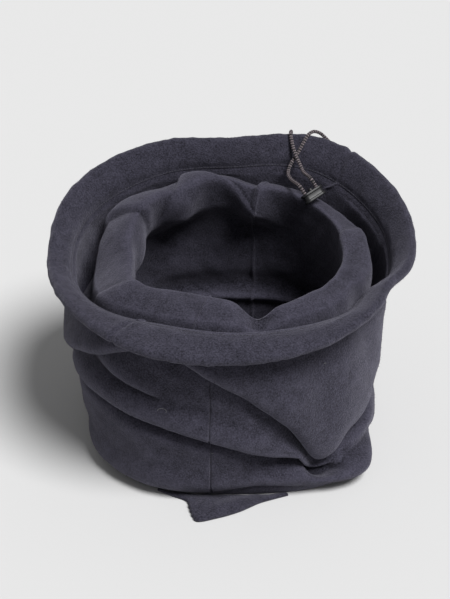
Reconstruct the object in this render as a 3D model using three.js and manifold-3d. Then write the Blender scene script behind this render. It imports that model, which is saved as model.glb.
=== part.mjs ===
// Helmet bag in dark fleece, standing open: two sewn panels, a turned hem that carries the
// drawcord, the corner that sticks out at the bottom, the cord and its spring lock.
// Millimetres, +Z up. The bag stands on z = 0, its front faces -Y and +X is to the right.
// Azimuths are in degrees: 0 is the front, 90 the right, 180 the back and 270 the left.
import * as THREE from "three";
import { mergeVertices } from "three/addons/utils/BufferGeometryUtils.js";
import Module from "manifold-3d";

const wasm = await Module();
wasm.setup();

// Driving dimensions
const FLEECE = 2.6; // thickness of the cloth
const GAP = 0.3; // between pieces that are sewn or rest on each other
const CORD_D = 4;
const CORD_SIDES = 6;
const CENTRE_Y = -3.1; // moves everything so that the origin is under the middle of the bag

// Panels
const FRONT_SEAM = -9;
const BACK_SEAM = 170;
const SEAM_HALF = 0.1; // half the open width of the side seams, in degrees
const PANEL_COLUMNS = 26;
const BASE_ROWS = 1;
const BASE_INSET = 1.4; // the walls stand this far outside the edge of the base
const SEAM_END = 0.07; // the bottom seam ends at this share of the base's length
const CUFF_CLEARANCE = 11; // between the wall and the cuff that hangs outside it
const LIP_CLEARANCE = 8; // between the inner fold's outer lip and the hem's root
const BEND = 5; // half the width of the fold at the bottom of the cuff

// Hem
const HEM_ROOT = 5; // the panel turns into the hem over this length
const HEM_START = 7; // and ends here, where the hem's own walls begin
const HEM_PUFF = 5.2; // half the hem's thickness
const CHANNEL = HEM_PUFF - FLEECE; // half the height of the channel inside
const CORD_BELOW_FOLD = 14;
const EXIT_D = 5.6;
const EXIT_LEFT = 159.9;
const EXIT_RIGHT = 146;

// Free strands beside the hem: azimuth, height above the hem's fold, distance outside its middle.
const STRAND_COLUMNS = ["azimuth", "above", "outside"];
const STRAND_LEFT_ROWS = [
  [EXIT_LEFT, -11.6, 2.4],
  [EXIT_LEFT, -8.8, 5.4],
  [EXIT_LEFT, -5, 7.6],
  [159.7, 0.3, 5.8],
  [159.4, 2.5, 0.2],
  [159, 0.2, -5.8],
  [158.2, -6, -8.6],
  [156.9, -15, -11],
  [154.9, -25, -13.8],
  [152.4, -34, -17],
  [150, -41, -20.5],
];
const STRAND_RIGHT_ROWS = [
  [EXIT_RIGHT, -11.6, 2.4],
  [EXIT_RIGHT, -8.8, 5.4],
  [146.8, -4.2, 8.8],
  [149.6, 2, 8.6],
  [151.2, 5, 4.6],
  [152.5, 4.6, -1.4],
  [153.3, -0.5, -7],
  [154.1, -11, -8.8],
  [155.2, -23, -9],
  [156.3, -34, -11.6],
  [156, -44, -16.6],
  [152.8, -52, -29],
];

// Cord lock
const LOCK_LENGTH = 26.5;
const LOCK_WIDTH = 12.5;
const LOCK_HEIGHT = 10.4;
const LOCK_FLANGE = 2.8;
const LOCK_WAIST_INSET = 1.2;
const LOCK_CENTRE = new THREE.Vector3(85.6, 92.2, 228);
const LOCK_AZIMUTH = 122;
const LOCK_RISE = 18; // tilt of its long axis
const LOCK_ROLL = 42; // lean of its cord side towards the back left
const LOCK_HOLE_D = 4.9;
const LOCK_HOLE_PITCH = 15;
const LOCK_HOLE_DEPTH = 6;
const BUTTON_D = 5;
const BUTTON_PROUD = 3.2;
const BUTTON_DEPTH = 4;
const BUTTON_TRAVEL = 2.6;
const BUTTON_CLEARANCE = 0.15;

// Bottom corner that sticks out at the front: its root runs along the base between two azimuths, and
// its free edge follows these plan points.
const CORNER_FROM = -33;
const CORNER_TO = 24;
const CORNER_OFFSET = 4.2; // from the base to the root
const CORNER_EDGE = [
  [-76, -117.5], [-62, -126], [-46, -135.5], [-42.5, -150], [-36, -165],
  [-15, -160.5], [8, -150.5], [28, -137.5], [43, -131], [57, -125.5],
];
const CORNER_COLUMNS = 20;
const CORNER_ROWS = 4;
const CORNER_LAYERS = 2 * FLEECE;
const CORNER_HUMP = 2;
const CORNER_SWELL = 0.12; // the two layers part by this share of the corner's width

// Rings of the lower wall: reach from the axis towards each side, height, squareness and their share
// of the heel's local changes.
const RING_COLUMNS = ["name", "front", "right", "back", "left", "height", "power", "flare"];
const RING_ROWS = [
  ["floor", 122, 124, 104, 134, FLEECE / 2, 2.7, 0.9],
  ["heel", 138, 141, 118, 150, 19, 2.6, 1],
  ["low", 136, 146, 127, 153, 44, 2.4, 0.6],
];

// Vertical sections through the rim, one every 30 degrees from the front round by the right.
// ridge: the inner fold round the way in. shelf: the flat run outside it.
// valley: the bottom of the hanging cuff. stitch: the hem's sewn root. mouth: the hem's fold.
const SECTION_STEP = 30;
const SECTION_COLUMNS = [
  "azimuth", "ridgeR", "ridgeZ", "shelf", "valleyR", "valleyZ", "stitchR", "stitchZ", "mouthR", "mouthZ",
];
const SECTION_ROWS = [
  [0, 96, 214, 26, 138, 142, 127, 203, 161, 187],
  [30, 102, 207, 12, 141, 87, 126, 197, 162, 192],
  [60, 106, 207, 12, 143, 58, 136, 188, 168, 205],
  [90, 113, 207, 18, 145, 84, 156, 182, 183, 214],
  [120, 122, 213, 14, 148, 114, 170, 200, 194, 238],
  [150, 125, 221, 8, 147, 154, 168, 222, 192, 258],
  [180, 116, 233, 8, 141, 180, 142, 228, 153, 265],
  [210, 120, 231, 14, 150, 172, 152, 224, 170, 262],
  [240, 120, 217, 32, 163, 144, 169, 203, 189, 241],
  [270, 102, 206, 38, 168, 116, 158, 187, 185, 209],
  [300, 108, 209, 22, 160, 146, 146, 194, 180, 204],
  [330, 92, 213, 34, 141, 178, 128, 201, 174, 194],
];

// Folds draped across the outer wall: a line through three points, the lip that hangs over it,
// the tuck below it and the width that both take.
const FOLD_COLUMNS = ["name", "az0", "z0", "az1", "z1", "az2", "z2", "lip", "tuck", "width"];
const FOLD_ROWS = [
  ["front_sash", -104, 98, -14, 88, 60, 4, 7, 8, 18],
  ["left_drape", -70, 146, -47, 136, -26, 124, 4, 3, 14],
  ["right_drape", 62, 36, 96, 34, 150, 60, 5, 5, 16],
  ["back_sash", 120, 84, 172, 92, 226, 84, 6, 6, 17],
  ["left_sash", 190, 40, 230, 48, 290, 36, 5, 5, 16],
];

// Local changes: how far they drop and push in the inner fold, pull in the hem, push out the heel, drop
// the bottom of the cuff and swell the wall below it.
const DENT_COLUMNS = ["name", "azimuth", "spread", "drop", "push", "hem", "heel", "cuff", "swell"];
const DENT_ROWS = [
  ["front_notch", 13, 8, 13, 8, 0, 0, 0, 0],
  ["left_pleat", -116, 11, -2, -12, 0, 0, 0, 0],
  ["back_left_pleat", -152, 9, 5, -10, 0, 0, 0, 0],
  ["back_pleat", 168, 9, 4, -9, 0, 0, 0, 0],
  ["right_waist", 71, 9, 0, 0, -9, 0, 0, 0],
  ["right_heel", 52, 20, 0, 0, 0, 14, 0, 0],
  ["cuff_point", 37, 9, 0, 0, 0, 0, 32, 0],
  ["right_swell", 64, 15, 0, 0, 0, 0, 0, 7],
];

const asRows = (columns, rows) =>
  rows.map((row) => Object.fromEntries(columns.map((name, i) => [name, row[i]])));
const RINGS = Object.fromEntries(asRows(RING_COLUMNS, RING_ROWS).map((ring) => [ring.name, ring]));
const SECTIONS = asRows(SECTION_COLUMNS, SECTION_ROWS);
const FOLDS = asRows(FOLD_COLUMNS, FOLD_ROWS);
const DENTS = asRows(DENT_COLUMNS, DENT_ROWS);

const rad = THREE.MathUtils.degToRad;
const lerp = THREE.MathUtils.lerp;
const smooth = THREE.MathUtils.smoothstep;
const UP = new THREE.Vector3(0, 0, 1);
const DOWN = new THREE.Vector3(0, 0, -1);
const bell = (x) => Math.exp(-x * x);
const wrap = (degrees) => THREE.MathUtils.euclideanModulo(degrees + 180, 360) - 180;
const around = (azimuth, r, z) =>
  new THREE.Vector3(r * Math.sin(rad(azimuth)), -r * Math.cos(rad(azimuth)), z);

// One column of the section table at any azimuth, on a closed smooth curve.
function section(name, azimuth) {
  const at = THREE.MathUtils.euclideanModulo(azimuth, 360) / SECTION_STEP;
  const i = Math.floor(at);
  const [a, b, c, d] = [-1, 0, 1, 2].map((k) => SECTIONS[(i + k + SECTIONS.length) % SECTIONS.length][name]);
  const t = at - i;
  return b + 0.5 * t * (c - a + t * (2 * a - 5 * b + 4 * c - d + t * (3 * (b - c) + d - a)));
}

// Reach of a ring of the lower wall: a rounded square with its own size on each side.
function ringReach(ring, azimuth) {
  const flare = ring.flare * dent("heel", azimuth);
  const s = Math.sin(rad(azimuth));
  const c = Math.cos(rad(azimuth));
  const across = Math.abs(s) / (s > 0 ? ring.right : ring.left);
  const along = Math.abs(c) / (c > 0 ? ring.front : ring.back);
  return flare + (across ** ring.power + along ** ring.power) ** (-1 / ring.power);
}

// How far the local changes move one feature at an azimuth.
function dent(name, azimuth) {
  const shares = DENTS.map((row) => row[name] * bell(wrap(azimuth - row.azimuth) / row.spread));
  return shares.reduce((sum, share) => sum + share, 0);
}

// The hem's sewn root and its fold, as points of reach and height, and the direction between them.
function hemAt(azimuth) {
  const pull = dent("hem", azimuth);
  const stitch = new THREE.Vector3(section("stitchR", azimuth) + pull, 0, section("stitchZ", azimuth));
  const mouth = new THREE.Vector3(section("mouthR", azimuth) + pull, 0, section("mouthZ", azimuth));
  const up = mouth.clone().sub(stitch).normalize();
  return { stitch, mouth, up, length: mouth.distanceTo(stitch) };
}

// The cut through the cloth at one azimuth, from the floor to the hem: points of reach and height.
function wallStations(azimuth) {
  const at = (name) => section(name, azimuth);
  const push = dent("push", azimuth);
  const point = (r, z) => new THREE.Vector3(r, 0, z);
  const ring = (name) => point(ringReach(RINGS[name], azimuth), RINGS[name].height);
  const ridge = point(at("ridgeR") + 0.4 * push, at("ridgeZ") - dent("drop", azimuth));
  const valley = point(at("valleyR"), at("valleyZ") - dent("cuff", azimuth));
  const { stitch, up } = hemAt(azimuth);
  const neck = point(valley.x - CUFF_CLEARANCE, valley.z - 2);
  const low = ring("low");
  low.z = Math.min(low.z, 0.6 * neck.z);
  const belly = low.clone().lerp(neck, 0.55).add(point(5 + dent("swell", azimuth), 0));
  const hang = valley.clone().lerp(stitch, 0.5).add(point(6, 0));
  const rise = stitch.clone().sub(hang).normalize();
  const turn = up.clone().sub(rise).normalize();
  const throat = point(ridge.x + 3 + push, lerp(ridge.z, neck.z, 0.45) - 4);
  const lip = point(Math.min(ridge.x + 8 + at("shelf"), stitch.x - LIP_CLEARANCE), ridge.z - 2);
  lip.z -= 0.28 * (lip.x - ridge.x);
  return [
    ring("floor"),
    ring("heel"),
    low,
    belly,
    neck,
    throat,
    ridge,
    lip,
    lip.clone().lerp(valley, 0.5).add(point(-4, 0)),
    valley.clone().add(point(-BEND, 6)),
    valley,
    valley.clone().add(point(BEND, 6)),
    hang,
    stitch.clone().addScaledVector(rise, -HEM_ROOT),
    stitch.clone().addScaledVector(turn, HEM_ROOT * Math.tan(rise.angleTo(up) / 4)),
    stitch.clone().addScaledVector(up, HEM_ROOT),
    stitch.clone().addScaledVector(up, HEM_START),
  ];
}
const STATION_STEPS = [3, 2, 4, 4, 3, 2, 2, 1, 2, 1, 1, 2, 1, 1, 1, 1];
const WALL_STATIONS = [2, 4]; // folds drape between these stations
const TWIST = -31; // the hem has slipped this far round the body
const TWIST_FROM = 3; // from this station upwards
const CROWD = 0.35; // how much the lower columns crowd towards the front

// Offset of the outer wall that the draped folds give at an azimuth and height.
function foldOffset(azimuth, z) {
  let out = 0;
  let down = 0;
  for (const fold of FOLDS) {
    const length = fold.az2 - fold.az0;
    const along = THREE.MathUtils.euclideanModulo(azimuth - fold.az0, 360) / length;
    if (along >= 1) continue;
    const middle = (fold.az1 - fold.az0) / length;
    const bend = (fold.z1 - lerp(fold.z0, fold.z2, middle)) / (middle * (1 - middle));
    const line = lerp(fold.z0, fold.z2, along) + bend * along * (1 - along);
    const ends = smooth(along, 0, 0.2) * smooth(1 - along, 0, 0.2);
    const d = (z - line) / fold.width;
    out += ends * (fold.lip * bell((d - 0.5) / 0.6) - fold.tuck * bell((d + 0.5) / 0.5));
    down += ends * 0.35 * fold.width * bell((d - 0.1) / 0.6);
  }
  return { out, down };
}

// Azimuth of a panel's column: side 1 is the right panel, -1 the left; share runs from the front seam to
// the back seam. The lower columns crowd towards the front, where the folds are.
function columnAzimuth(side, share, place) {
  const from = FRONT_SEAM + side * SEAM_HALF;
  const to = side > 0 ? BACK_SEAM - SEAM_HALF : BACK_SEAM - 360 + SEAM_HALF;
  const last = STATION_STEPS.length;
  const crowd = CROWD * (1 - smooth(place, TWIST_FROM, last));
  return lerp(from, to, share * (1 - crowd * (1 - share))) + TWIST * smooth(place, TWIST_FROM, last);
}

// A point of the cloth's middle surface at a place along the stations.
function wallPoint(side, share, place) {
  const azimuth = columnAzimuth(side, share, place);
  const curve = new THREE.CatmullRomCurve3(wallStations(azimuth), false, "centripetal");
  const p = curve.getPoint(place / STATION_STEPS.length);
  const [from, to] = WALL_STATIONS;
  const strength = smooth(place, from - 1, from) * (1 - smooth(place, to - 0.5, to + 0.5));
  const fold = foldOffset(azimuth, p.z);
  return around(azimuth, p.x + strength * fold.out, p.z - strength * fold.down);
}

// Rows of the cloth's middle surface in one column of the wall, from the floor to the hem.
function wallColumn(side, share) {
  const rows = [];
  STATION_STEPS.forEach((steps, i) => {
    for (let k = 0; k < steps; k++) rows.push(wallPoint(side, share, i + k / steps));
  });
  rows.push(wallPoint(side, share, STATION_STEPS.length));
  return rows;
}

// Rows of the base in one column, from the bottom seam to its edge.
function baseColumn(side, share) {
  const floorAt = (azimuth) => around(azimuth, ringReach(RINGS.floor, azimuth) - BASE_INSET, FLEECE / 2);
  const seam = floorAt(FRONT_SEAM).lerp(floorAt(BACK_SEAM), lerp(SEAM_END, 1 - SEAM_END, share));
  seam.x += (side * GAP) / 2;
  const edge = floorAt(columnAzimuth(side, share, 0));
  const rows = [];
  for (let i = 0; i <= BASE_ROWS; i++) rows.push(seam.clone().lerp(edge, i / BASE_ROWS));
  return rows;
}

// A closed shell round a grid of points of its middle surface, with its thickness at each row and column.
// The grid has one more column at either side, so that two shells that meet there lean the same way.
// A shell that lies flat is given the way that its outer side faces.
function shellGeometry(grid, thickness, facing) {
  const rows = grid.length;
  const columns = grid[0].length - 2;
  const pick = (i, j) => grid[Math.min(Math.max(i, 0), rows - 1)][j + 1];
  const positions = [];
  for (const side of [1, -1]) {
    for (let i = 0; i < rows; i++) {
      for (let j = 0; j < columns; j++) {
        const across = pick(i, j + 1).clone().sub(pick(i, j - 1));
        const along = pick(i + 1, j).clone().sub(pick(i - 1, j));
        const normal = facing ?? across.cross(along).normalize();
        const p = pick(i, j).clone().addScaledVector(normal, (side * thickness(i, j)) / 2);
        positions.push(...p.toArray());
      }
    }
  }
  const index = [];
  const quad = (a, b, c, d) => index.push(a, b, c, a, c, d);
  const inner = rows * columns;
  const at = (i, j) => i * columns + j;
  for (let i = 0; i + 1 < rows; i++) {
    for (let j = 0; j + 1 < columns; j++) {
      const face = [at(i, j), at(i, j + 1), at(i + 1, j + 1), at(i + 1, j)];
      if (2 * j >= columns) face.push(face.shift());
      const [a, b, c, d] = face;
      quad(a, b, c, d);
      quad(inner + a, inner + d, inner + c, inner + b);
    }
  }
  for (let j = 0; j + 1 < columns; j++) {
    quad(at(0, j), inner + at(0, j), inner + at(0, j + 1), at(0, j + 1));
    const k = rows - 1;
    quad(at(k, j), at(k, j + 1), inner + at(k, j + 1), inner + at(k, j));
  }
  for (let i = 0; i + 1 < rows; i++) {
    quad(at(i, 0), at(i + 1, 0), inner + at(i + 1, 0), inner + at(i, 0));
    const k = columns - 1;
    quad(at(i, k), inner + at(i, k), inner + at(i + 1, k), at(i + 1, k));
  }
  return new THREE.BufferGeometry()
    .setAttribute("position", new THREE.Float32BufferAttribute(positions, 3))
    .setIndex(index);
}

// One side of the wall or of the base, from the front seam round to the back seam: side 1 is the right,
// -1 the left.
function sewnHalf(column, side, facing) {
  const columns = [];
  for (let j = -1; j <= PANEL_COLUMNS + 1; j++) columns.push(column(side, j / PANEL_COLUMNS));
  if (side < 0) columns.reverse();
  const grid = columns[0].map((_, i) => columns.map((points) => points[i]));
  return shellGeometry(grid, () => FLEECE, facing);
}

// A closed tube of rings; each ring is a list of points and the last ring may join the first.
function ringsGeometry(rings, closed) {
  const sides = rings[0].length;
  const positions = rings.flat().flatMap((p) => p.toArray());
  const index = [];
  const count = closed ? rings.length : rings.length - 1;
  for (let i = 0; i < count; i++) {
    const here = i * sides;
    const next = ((i + 1) % rings.length) * sides;
    for (let k = 0; k < sides; k++) {
      const l = (k + 1) % sides;
      index.push(here + k, here + l, next + l, here + k, next + l, next + k);
    }
  }
  if (!closed) {
    const end = (rings.length - 1) * sides;
    for (let k = 1; k + 1 < sides; k++) index.push(0, k + 1, k, end, end + k, end + k + 1);
  }
  return new THREE.BufferGeometry()
    .setAttribute("position", new THREE.Float32BufferAttribute(positions, 3))
    .setIndex(index);
}

// A geometry as a solid for joining and cutting, and back.
function solid(geometry) {
  const merged = mergeVertices(new THREE.BufferGeometry()
    .setAttribute("position", geometry.getAttribute("position").clone())
    .setIndex(geometry.index ? geometry.index.clone() : null), 1e-4);
  const made = new wasm.Manifold(new wasm.Mesh({
    numProp: 3,
    vertProperties: new Float32Array(merged.getAttribute("position").array),
    triVerts: new Uint32Array(merged.index.array),
  }));
  return made;
}
function unsolid(made) {
  const mesh = made.getMesh();
  return new THREE.BufferGeometry()
    .setAttribute("position", new THREE.Float32BufferAttribute(mesh.vertProperties, 3))
    .setIndex(new THREE.Uint32BufferAttribute(mesh.triVerts, 1));
}

// A place beside the hem: height above its fold and distance outside its middle.
function besideHem(azimuth, above, outside) {
  const { mouth, up } = hemAt(azimuth);
  return around(azimuth, mouth.x + above * up.x + outside * up.z, mouth.z + above * up.z - outside * up.x);
}

// The hem's cut: distance from the fold towards the root, and half thickness there.
function hemCut(azimuth) {
  const { length } = hemAt(azimuth);
  const half = [
    [HEM_START + GAP - length, FLEECE / 2],
    [10 - length, 3.3],
    [14 - length, HEM_PUFF - 0.3],
    [-length / 2, HEM_PUFF + 0.5],
    [-HEM_PUFF, HEM_PUFF],
    [-0.3 * HEM_PUFF, 0.72 * HEM_PUFF],
  ];
  return mirrored(half, [0, 0]);
}
function channelCut(azimuth) {
  const { length } = hemAt(azimuth);
  const half = [
    [16 - length, 0.8 * CHANNEL],
    [-HEM_PUFF - 2, CHANNEL],
    [-FLEECE - 0.4 * CHANNEL, 0.72 * CHANNEL],
  ];
  return mirrored(half, [-FLEECE, 0]);
}
const mirrored = (half, tip) => [...half.map(([a, b]) => [a, -b]), tip, ...half.toReversed()];

// The hem's columns stand where the panels' columns end.
const HEM_AZIMUTHS = [];
for (let j = 0; j < PANEL_COLUMNS; j++) {
  HEM_AZIMUTHS.push(TWIST + lerp(FRONT_SEAM, BACK_SEAM, j / PANEL_COLUMNS));
}
for (let j = 0; j < PANEL_COLUMNS; j++) {
  HEM_AZIMUTHS.push(TWIST + lerp(BACK_SEAM, FRONT_SEAM + 360, j / PANEL_COLUMNS));
}

function sweptRing(cut) {
  const ring = (azimuth) => cut(azimuth).map(([above, outside]) => besideHem(azimuth, above, outside));
  return ringsGeometry(HEM_AZIMUTHS.map(ring), true);
}

// The hem is hollow for the cord and has two small exits on its outer face.
function casingGeometry() {
  let casing = solid(sweptRing(hemCut)).subtract(solid(sweptRing(channelCut)));
  for (const azimuth of [EXIT_LEFT, EXIT_RIGHT]) {
    const inside = besideHem(azimuth, -CORD_BELOW_FOLD, 0);
    const outside = besideHem(azimuth, -CORD_BELOW_FOLD + 8, 8);
    casing = casing.subtract(solid(rodGeometry(inside, outside, EXIT_D, 12)));
  }
  return unsolid(casing);
}

// A straight round rod between two points.
function rodGeometry(from, to, diameter, sides) {
  const axis = to.clone().sub(from);
  const upright = new THREE.Vector3(0, 1, 0);
  const turn = new THREE.Quaternion().setFromUnitVectors(upright, axis.clone().normalize());
  const middle = from.clone().add(to).multiplyScalar(0.5);
  return new THREE.CylinderGeometry(diameter / 2, diameter / 2, axis.length(), sides)
    .applyQuaternion(turn)
    .translate(...middle.toArray());
}

// A round cord along a smooth path.
function cordGeometry(points, segments) {
  const path = new THREE.CatmullRomCurve3(points, false, "centripetal");
  const frames = path.computeFrenetFrames(segments, false);
  const rings = [];
  for (let i = 0; i <= segments; i++) {
    const centre = path.getPointAt(i / segments);
    rings.push(circleAt(centre, frames.normals[i], frames.binormals[i]));
  }
  return ringsGeometry(rings, false);
}
function circleAt(centre, u, v) {
  const ring = [];
  for (let k = 0; k < CORD_SIDES; k++) {
    const angle = (2 * Math.PI * k) / CORD_SIDES;
    ring.push(centre.clone()
      .addScaledVector(u, (CORD_D / 2) * Math.cos(angle))
      .addScaledVector(v, (CORD_D / 2) * Math.sin(angle)));
  }
  return ring;
}

// The hidden run of cord goes the long way round, just under the fold.
function hiddenCordGeometry() {
  const from = EXIT_LEFT - 0.8;
  const to = EXIT_RIGHT + 360 + 0.8;
  const turns = [...HEM_AZIMUTHS, ...HEM_AZIMUTHS.map((azimuth) => azimuth + 360)];
  const stops = [from, ...turns.filter((azimuth) => azimuth > from && azimuth < to), to];
  const rings = stops.map((azimuth) => {
    const centre = besideHem(azimuth, -CORD_BELOW_FOLD, 0);
    const u = besideHem(azimuth, -CORD_BELOW_FOLD, 1).sub(centre);
    const v = besideHem(azimuth, -CORD_BELOW_FOLD + 1, 0).sub(centre);
    return circleAt(centre, v, u);
  });
  return ringsGeometry(rings, false);
}

// Places in the lock's own frame: x along it, y across it and z towards the cords.
const lockTurn = new THREE.Matrix4()
  .makeTranslation(LOCK_CENTRE)
  .multiply(new THREE.Matrix4().makeRotationZ(rad(LOCK_AZIMUTH - 90)))
  .multiply(new THREE.Matrix4().makeRotationY(rad(-LOCK_RISE)))
  .multiply(new THREE.Matrix4().makeRotationX(rad(-LOCK_ROLL)));
const inLock = (x, y, z) => new THREE.Vector3(x, y, z).applyMatrix4(lockTurn);

function strandGeometry(rows, side) {
  const points = asRows(STRAND_COLUMNS, rows).map((row) => besideHem(row.azimuth, row.above, row.outside));
  const x = (side * LOCK_HOLE_PITCH) / 2;
  const top = LOCK_HEIGHT / 2;
  points.push(inLock(x, 0, top + 10), inLock(x, 0, top + 3), inLock(x, 0, top - LOCK_HOLE_DEPTH + GAP));
  return cordGeometry(points, 26);
}

// A flat oblong with round ends.
function oblong(length, width, height, z) {
  const r = width / 2;
  const half = length / 2 - r;
  const shape = new THREE.Shape();
  shape.absarc(half, 0, r, -Math.PI / 2, Math.PI / 2, false);
  shape.absarc(-half, 0, r, Math.PI / 2, (3 * Math.PI) / 2, false);
  return solid(new THREE.ExtrudeGeometry(shape, { depth: height, bevelEnabled: false, curveSegments: 7 })
    .translate(0, 0, z));
}

function lockBarrelGeometry() {
  const bottom = -LOCK_HEIGHT / 2;
  const top = LOCK_HEIGHT / 2;
  const inset = 2 * LOCK_WAIST_INSET;
  const waist = LOCK_HEIGHT - LOCK_FLANGE;
  let barrel = oblong(LOCK_LENGTH - inset, LOCK_WIDTH - inset, waist, bottom + LOCK_FLANGE / 2);
  barrel = barrel.add(oblong(LOCK_LENGTH, LOCK_WIDTH, LOCK_FLANGE, bottom));
  barrel = barrel.add(oblong(LOCK_LENGTH, LOCK_WIDTH, LOCK_FLANGE, top - LOCK_FLANGE));
  const bore = (x, diameter, depth) => solid(
    rodGeometry(new THREE.Vector3(x, 0, top - depth), new THREE.Vector3(x, 0, top + 5), diameter, 12));
  barrel = barrel.subtract(bore(LOCK_HOLE_PITCH / 2, LOCK_HOLE_D, LOCK_HOLE_DEPTH));
  barrel = barrel.subtract(bore(-LOCK_HOLE_PITCH / 2, LOCK_HOLE_D, LOCK_HOLE_DEPTH));
  barrel = barrel.subtract(bore(0, BUTTON_D + 2 * BUTTON_CLEARANCE, BUTTON_DEPTH + BUTTON_TRAVEL + GAP));
  return unsolid(barrel);
}

function lockButtonGeometry() {
  const r = BUTTON_D / 2;
  const top = LOCK_HEIGHT / 2;
  const outline = [
    [0, top - BUTTON_DEPTH],
    [r, top - BUTTON_DEPTH],
    [r, top + BUTTON_PROUD - 1.4],
    [0.8 * r, top + BUTTON_PROUD - 0.4],
    [0, top + BUTTON_PROUD],
  ].map(([x, y]) => new THREE.Vector2(x, y));
  const turned = new THREE.LatheGeometry(outline, 12).deleteAttribute("normal").deleteAttribute("uv");
  return mergeVertices(turned, 1e-4).rotateX(Math.PI / 2);
}

// A point of a curve, or of the straight line that goes on from its end.
function beyond(curve, t) {
  const end = THREE.MathUtils.clamp(t, 0, 1);
  return curve.getPoint(end).addScaledVector(curve.getTangent(end), (t - end) * curve.getLength());
}

// The sewn corner: two layers lying on the floor, thinner where they go in under the wall.
function cornerGeometry() {
  const edge = new THREE.CatmullRomCurve3(CORNER_EDGE.map(([x, y]) => new THREE.Vector3(x, y, 0)));
  const rootAt = (along) => {
    const azimuth = lerp(CORNER_FROM, CORNER_TO, along);
    return around(azimuth, ringReach(RINGS.floor, azimuth) + CORNER_OFFSET, 0);
  };
  const thickness = (i, j) => {
    const width = beyond(edge, j / CORNER_COLUMNS).distanceTo(rootAt(j / CORNER_COLUMNS));
    const free = Math.min(CORNER_LAYERS, FLEECE + CORNER_SWELL * width);
    return lerp(free, FLEECE, (i / CORNER_ROWS) ** 2);
  };
  const grid = [];
  for (let i = 0; i <= CORNER_ROWS; i++) {
    const inwards = i / CORNER_ROWS;
    const row = [];
    for (let j = -1; j <= CORNER_COLUMNS + 1; j++) {
      const along = j / CORNER_COLUMNS;
      const p = beyond(edge, along).lerp(rootAt(along), inwards);
      p.z = thickness(i, j) / 2 + CORNER_HUMP * bell((along - 0.5) / 0.25) * Math.sin(Math.PI * inwards);
      row.push(p);
    }
    grid.push(row);
  }
  return shellGeometry(grid, thickness, UP);
}

const fleece = () => new THREE.MeshStandardMaterial({ color: 0x3a3942, roughness: 0.95, metalness: 0 });
const braid = () => new THREE.MeshStandardMaterial({ color: 0x1b1a1a, roughness: 0.7, metalness: 0 });
const plastic = () => new THREE.MeshStandardMaterial({ color: 0x0e0e10, roughness: 0.35, metalness: 0 });

function add(group, name, geometry, material) {
  const mesh = new THREE.Mesh(geometry.translate(0, CENTRE_Y, 0), material);
  mesh.name = name;
  group.add(mesh);
  return mesh;
}

const bag = new THREE.Group();
add(bag, "body_panel_left", sewnHalf(wallColumn, -1), fleece());
add(bag, "body_panel_right", sewnHalf(wallColumn, 1), fleece());
add(bag, "base_left", sewnHalf(baseColumn, -1, DOWN), fleece());
add(bag, "base_right", sewnHalf(baseColumn, 1, DOWN), fleece());
add(bag, "bottom_corner", cornerGeometry(), fleece());
add(bag, "drawcord_casing", casingGeometry(), fleece());
add(bag, "drawcord_in_casing", hiddenCordGeometry(), braid());
add(bag, "drawcord_strand_left", strandGeometry(STRAND_LEFT_ROWS, 1), braid());
add(bag, "drawcord_strand_right", strandGeometry(STRAND_RIGHT_ROWS, -1), braid());
add(bag, "cord_lock_barrel", lockBarrelGeometry().applyMatrix4(lockTurn), plastic());
add(bag, "cord_lock_button", lockButtonGeometry().applyMatrix4(lockTurn), plastic());

export default bag;
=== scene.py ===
import math

import bpy
import numpy as np
from mathutils import Matrix, Vector


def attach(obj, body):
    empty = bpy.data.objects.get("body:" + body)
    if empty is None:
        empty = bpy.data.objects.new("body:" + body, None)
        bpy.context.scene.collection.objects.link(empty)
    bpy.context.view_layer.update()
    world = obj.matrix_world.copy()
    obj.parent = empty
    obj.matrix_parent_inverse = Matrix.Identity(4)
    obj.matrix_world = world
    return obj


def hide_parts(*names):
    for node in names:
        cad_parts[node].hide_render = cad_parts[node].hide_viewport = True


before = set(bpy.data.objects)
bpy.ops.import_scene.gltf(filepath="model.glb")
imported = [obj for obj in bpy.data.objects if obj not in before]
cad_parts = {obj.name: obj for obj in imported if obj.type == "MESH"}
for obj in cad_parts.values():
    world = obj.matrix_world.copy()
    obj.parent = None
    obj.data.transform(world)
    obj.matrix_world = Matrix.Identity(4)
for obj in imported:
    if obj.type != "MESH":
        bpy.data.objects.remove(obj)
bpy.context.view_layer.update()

# Dimensions in millimetres, azimuths in degrees: 0 is the front, 90 the right, 180 the back.
MM = 0.001
FLEECE = 2.6
CORD_D = 4.0
CENTRE_Y = -3.1

# Camera, as the picture was taken
VIEW_RISE = 34.0
VIEW_TARGET = (0.0, CENTRE_Y, 110.0)
VIEW_DISTANCE = 1500.0
VIEW_FOCAL = 1437.0  # in pixels
VIEW_SHIFT = (-7.0, 37.5)  # in pixels
PICTURE_HEIGHT = 599.0
SENSOR = 36.0

# Panels
FRONT_SEAM = -9.0
BACK_SEAM = 170.0
SEAM_END = 0.07
CUFF_CLEARANCE = 11.0
LIP_CLEARANCE = 8.0
BEND = 5.0
HEM_ROOT = 5.0
HEM_START = 7.0
TWIST = -31.0
TWIST_FROM = 3.0
CROWD = 0.35
BASE_ROWS = 20
ROW_SHARES = [3, 2, 4, 4, 3, 3, 3, 1, 2, 1, 1, 2, 1, 1, 1, 1]
ROWS_PER_SHARE = 8
LAST_STATION = len(ROW_SHARES)
STATION_EASE = [1, 1, 1, 1, 1, 1, 0.5, 0.65, 1, 1, 1, 1, 1, 1, 1, 1, 1]  # low where the cloth folds crisply
NORMAL_REACH = 12  # rows
PANEL_COLUMNS = 140
SEAM_COLUMNS = [0.0, 0.5, 1.0, 1.5, 2.1, 2.8, 3.6, 4.6, 5.9, 7.5, 9.5]  # millimetres from the seam
PANEL_WIDTH = 470.0
SEAM_GROOVE = 1.6
SEAM_GROOVE_WIDTH = 1.5
SEAM_GROOVE_FROM = 0.3  # the bottom has no groove
EDGE_REACH = 3  # rows and columns
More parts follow.
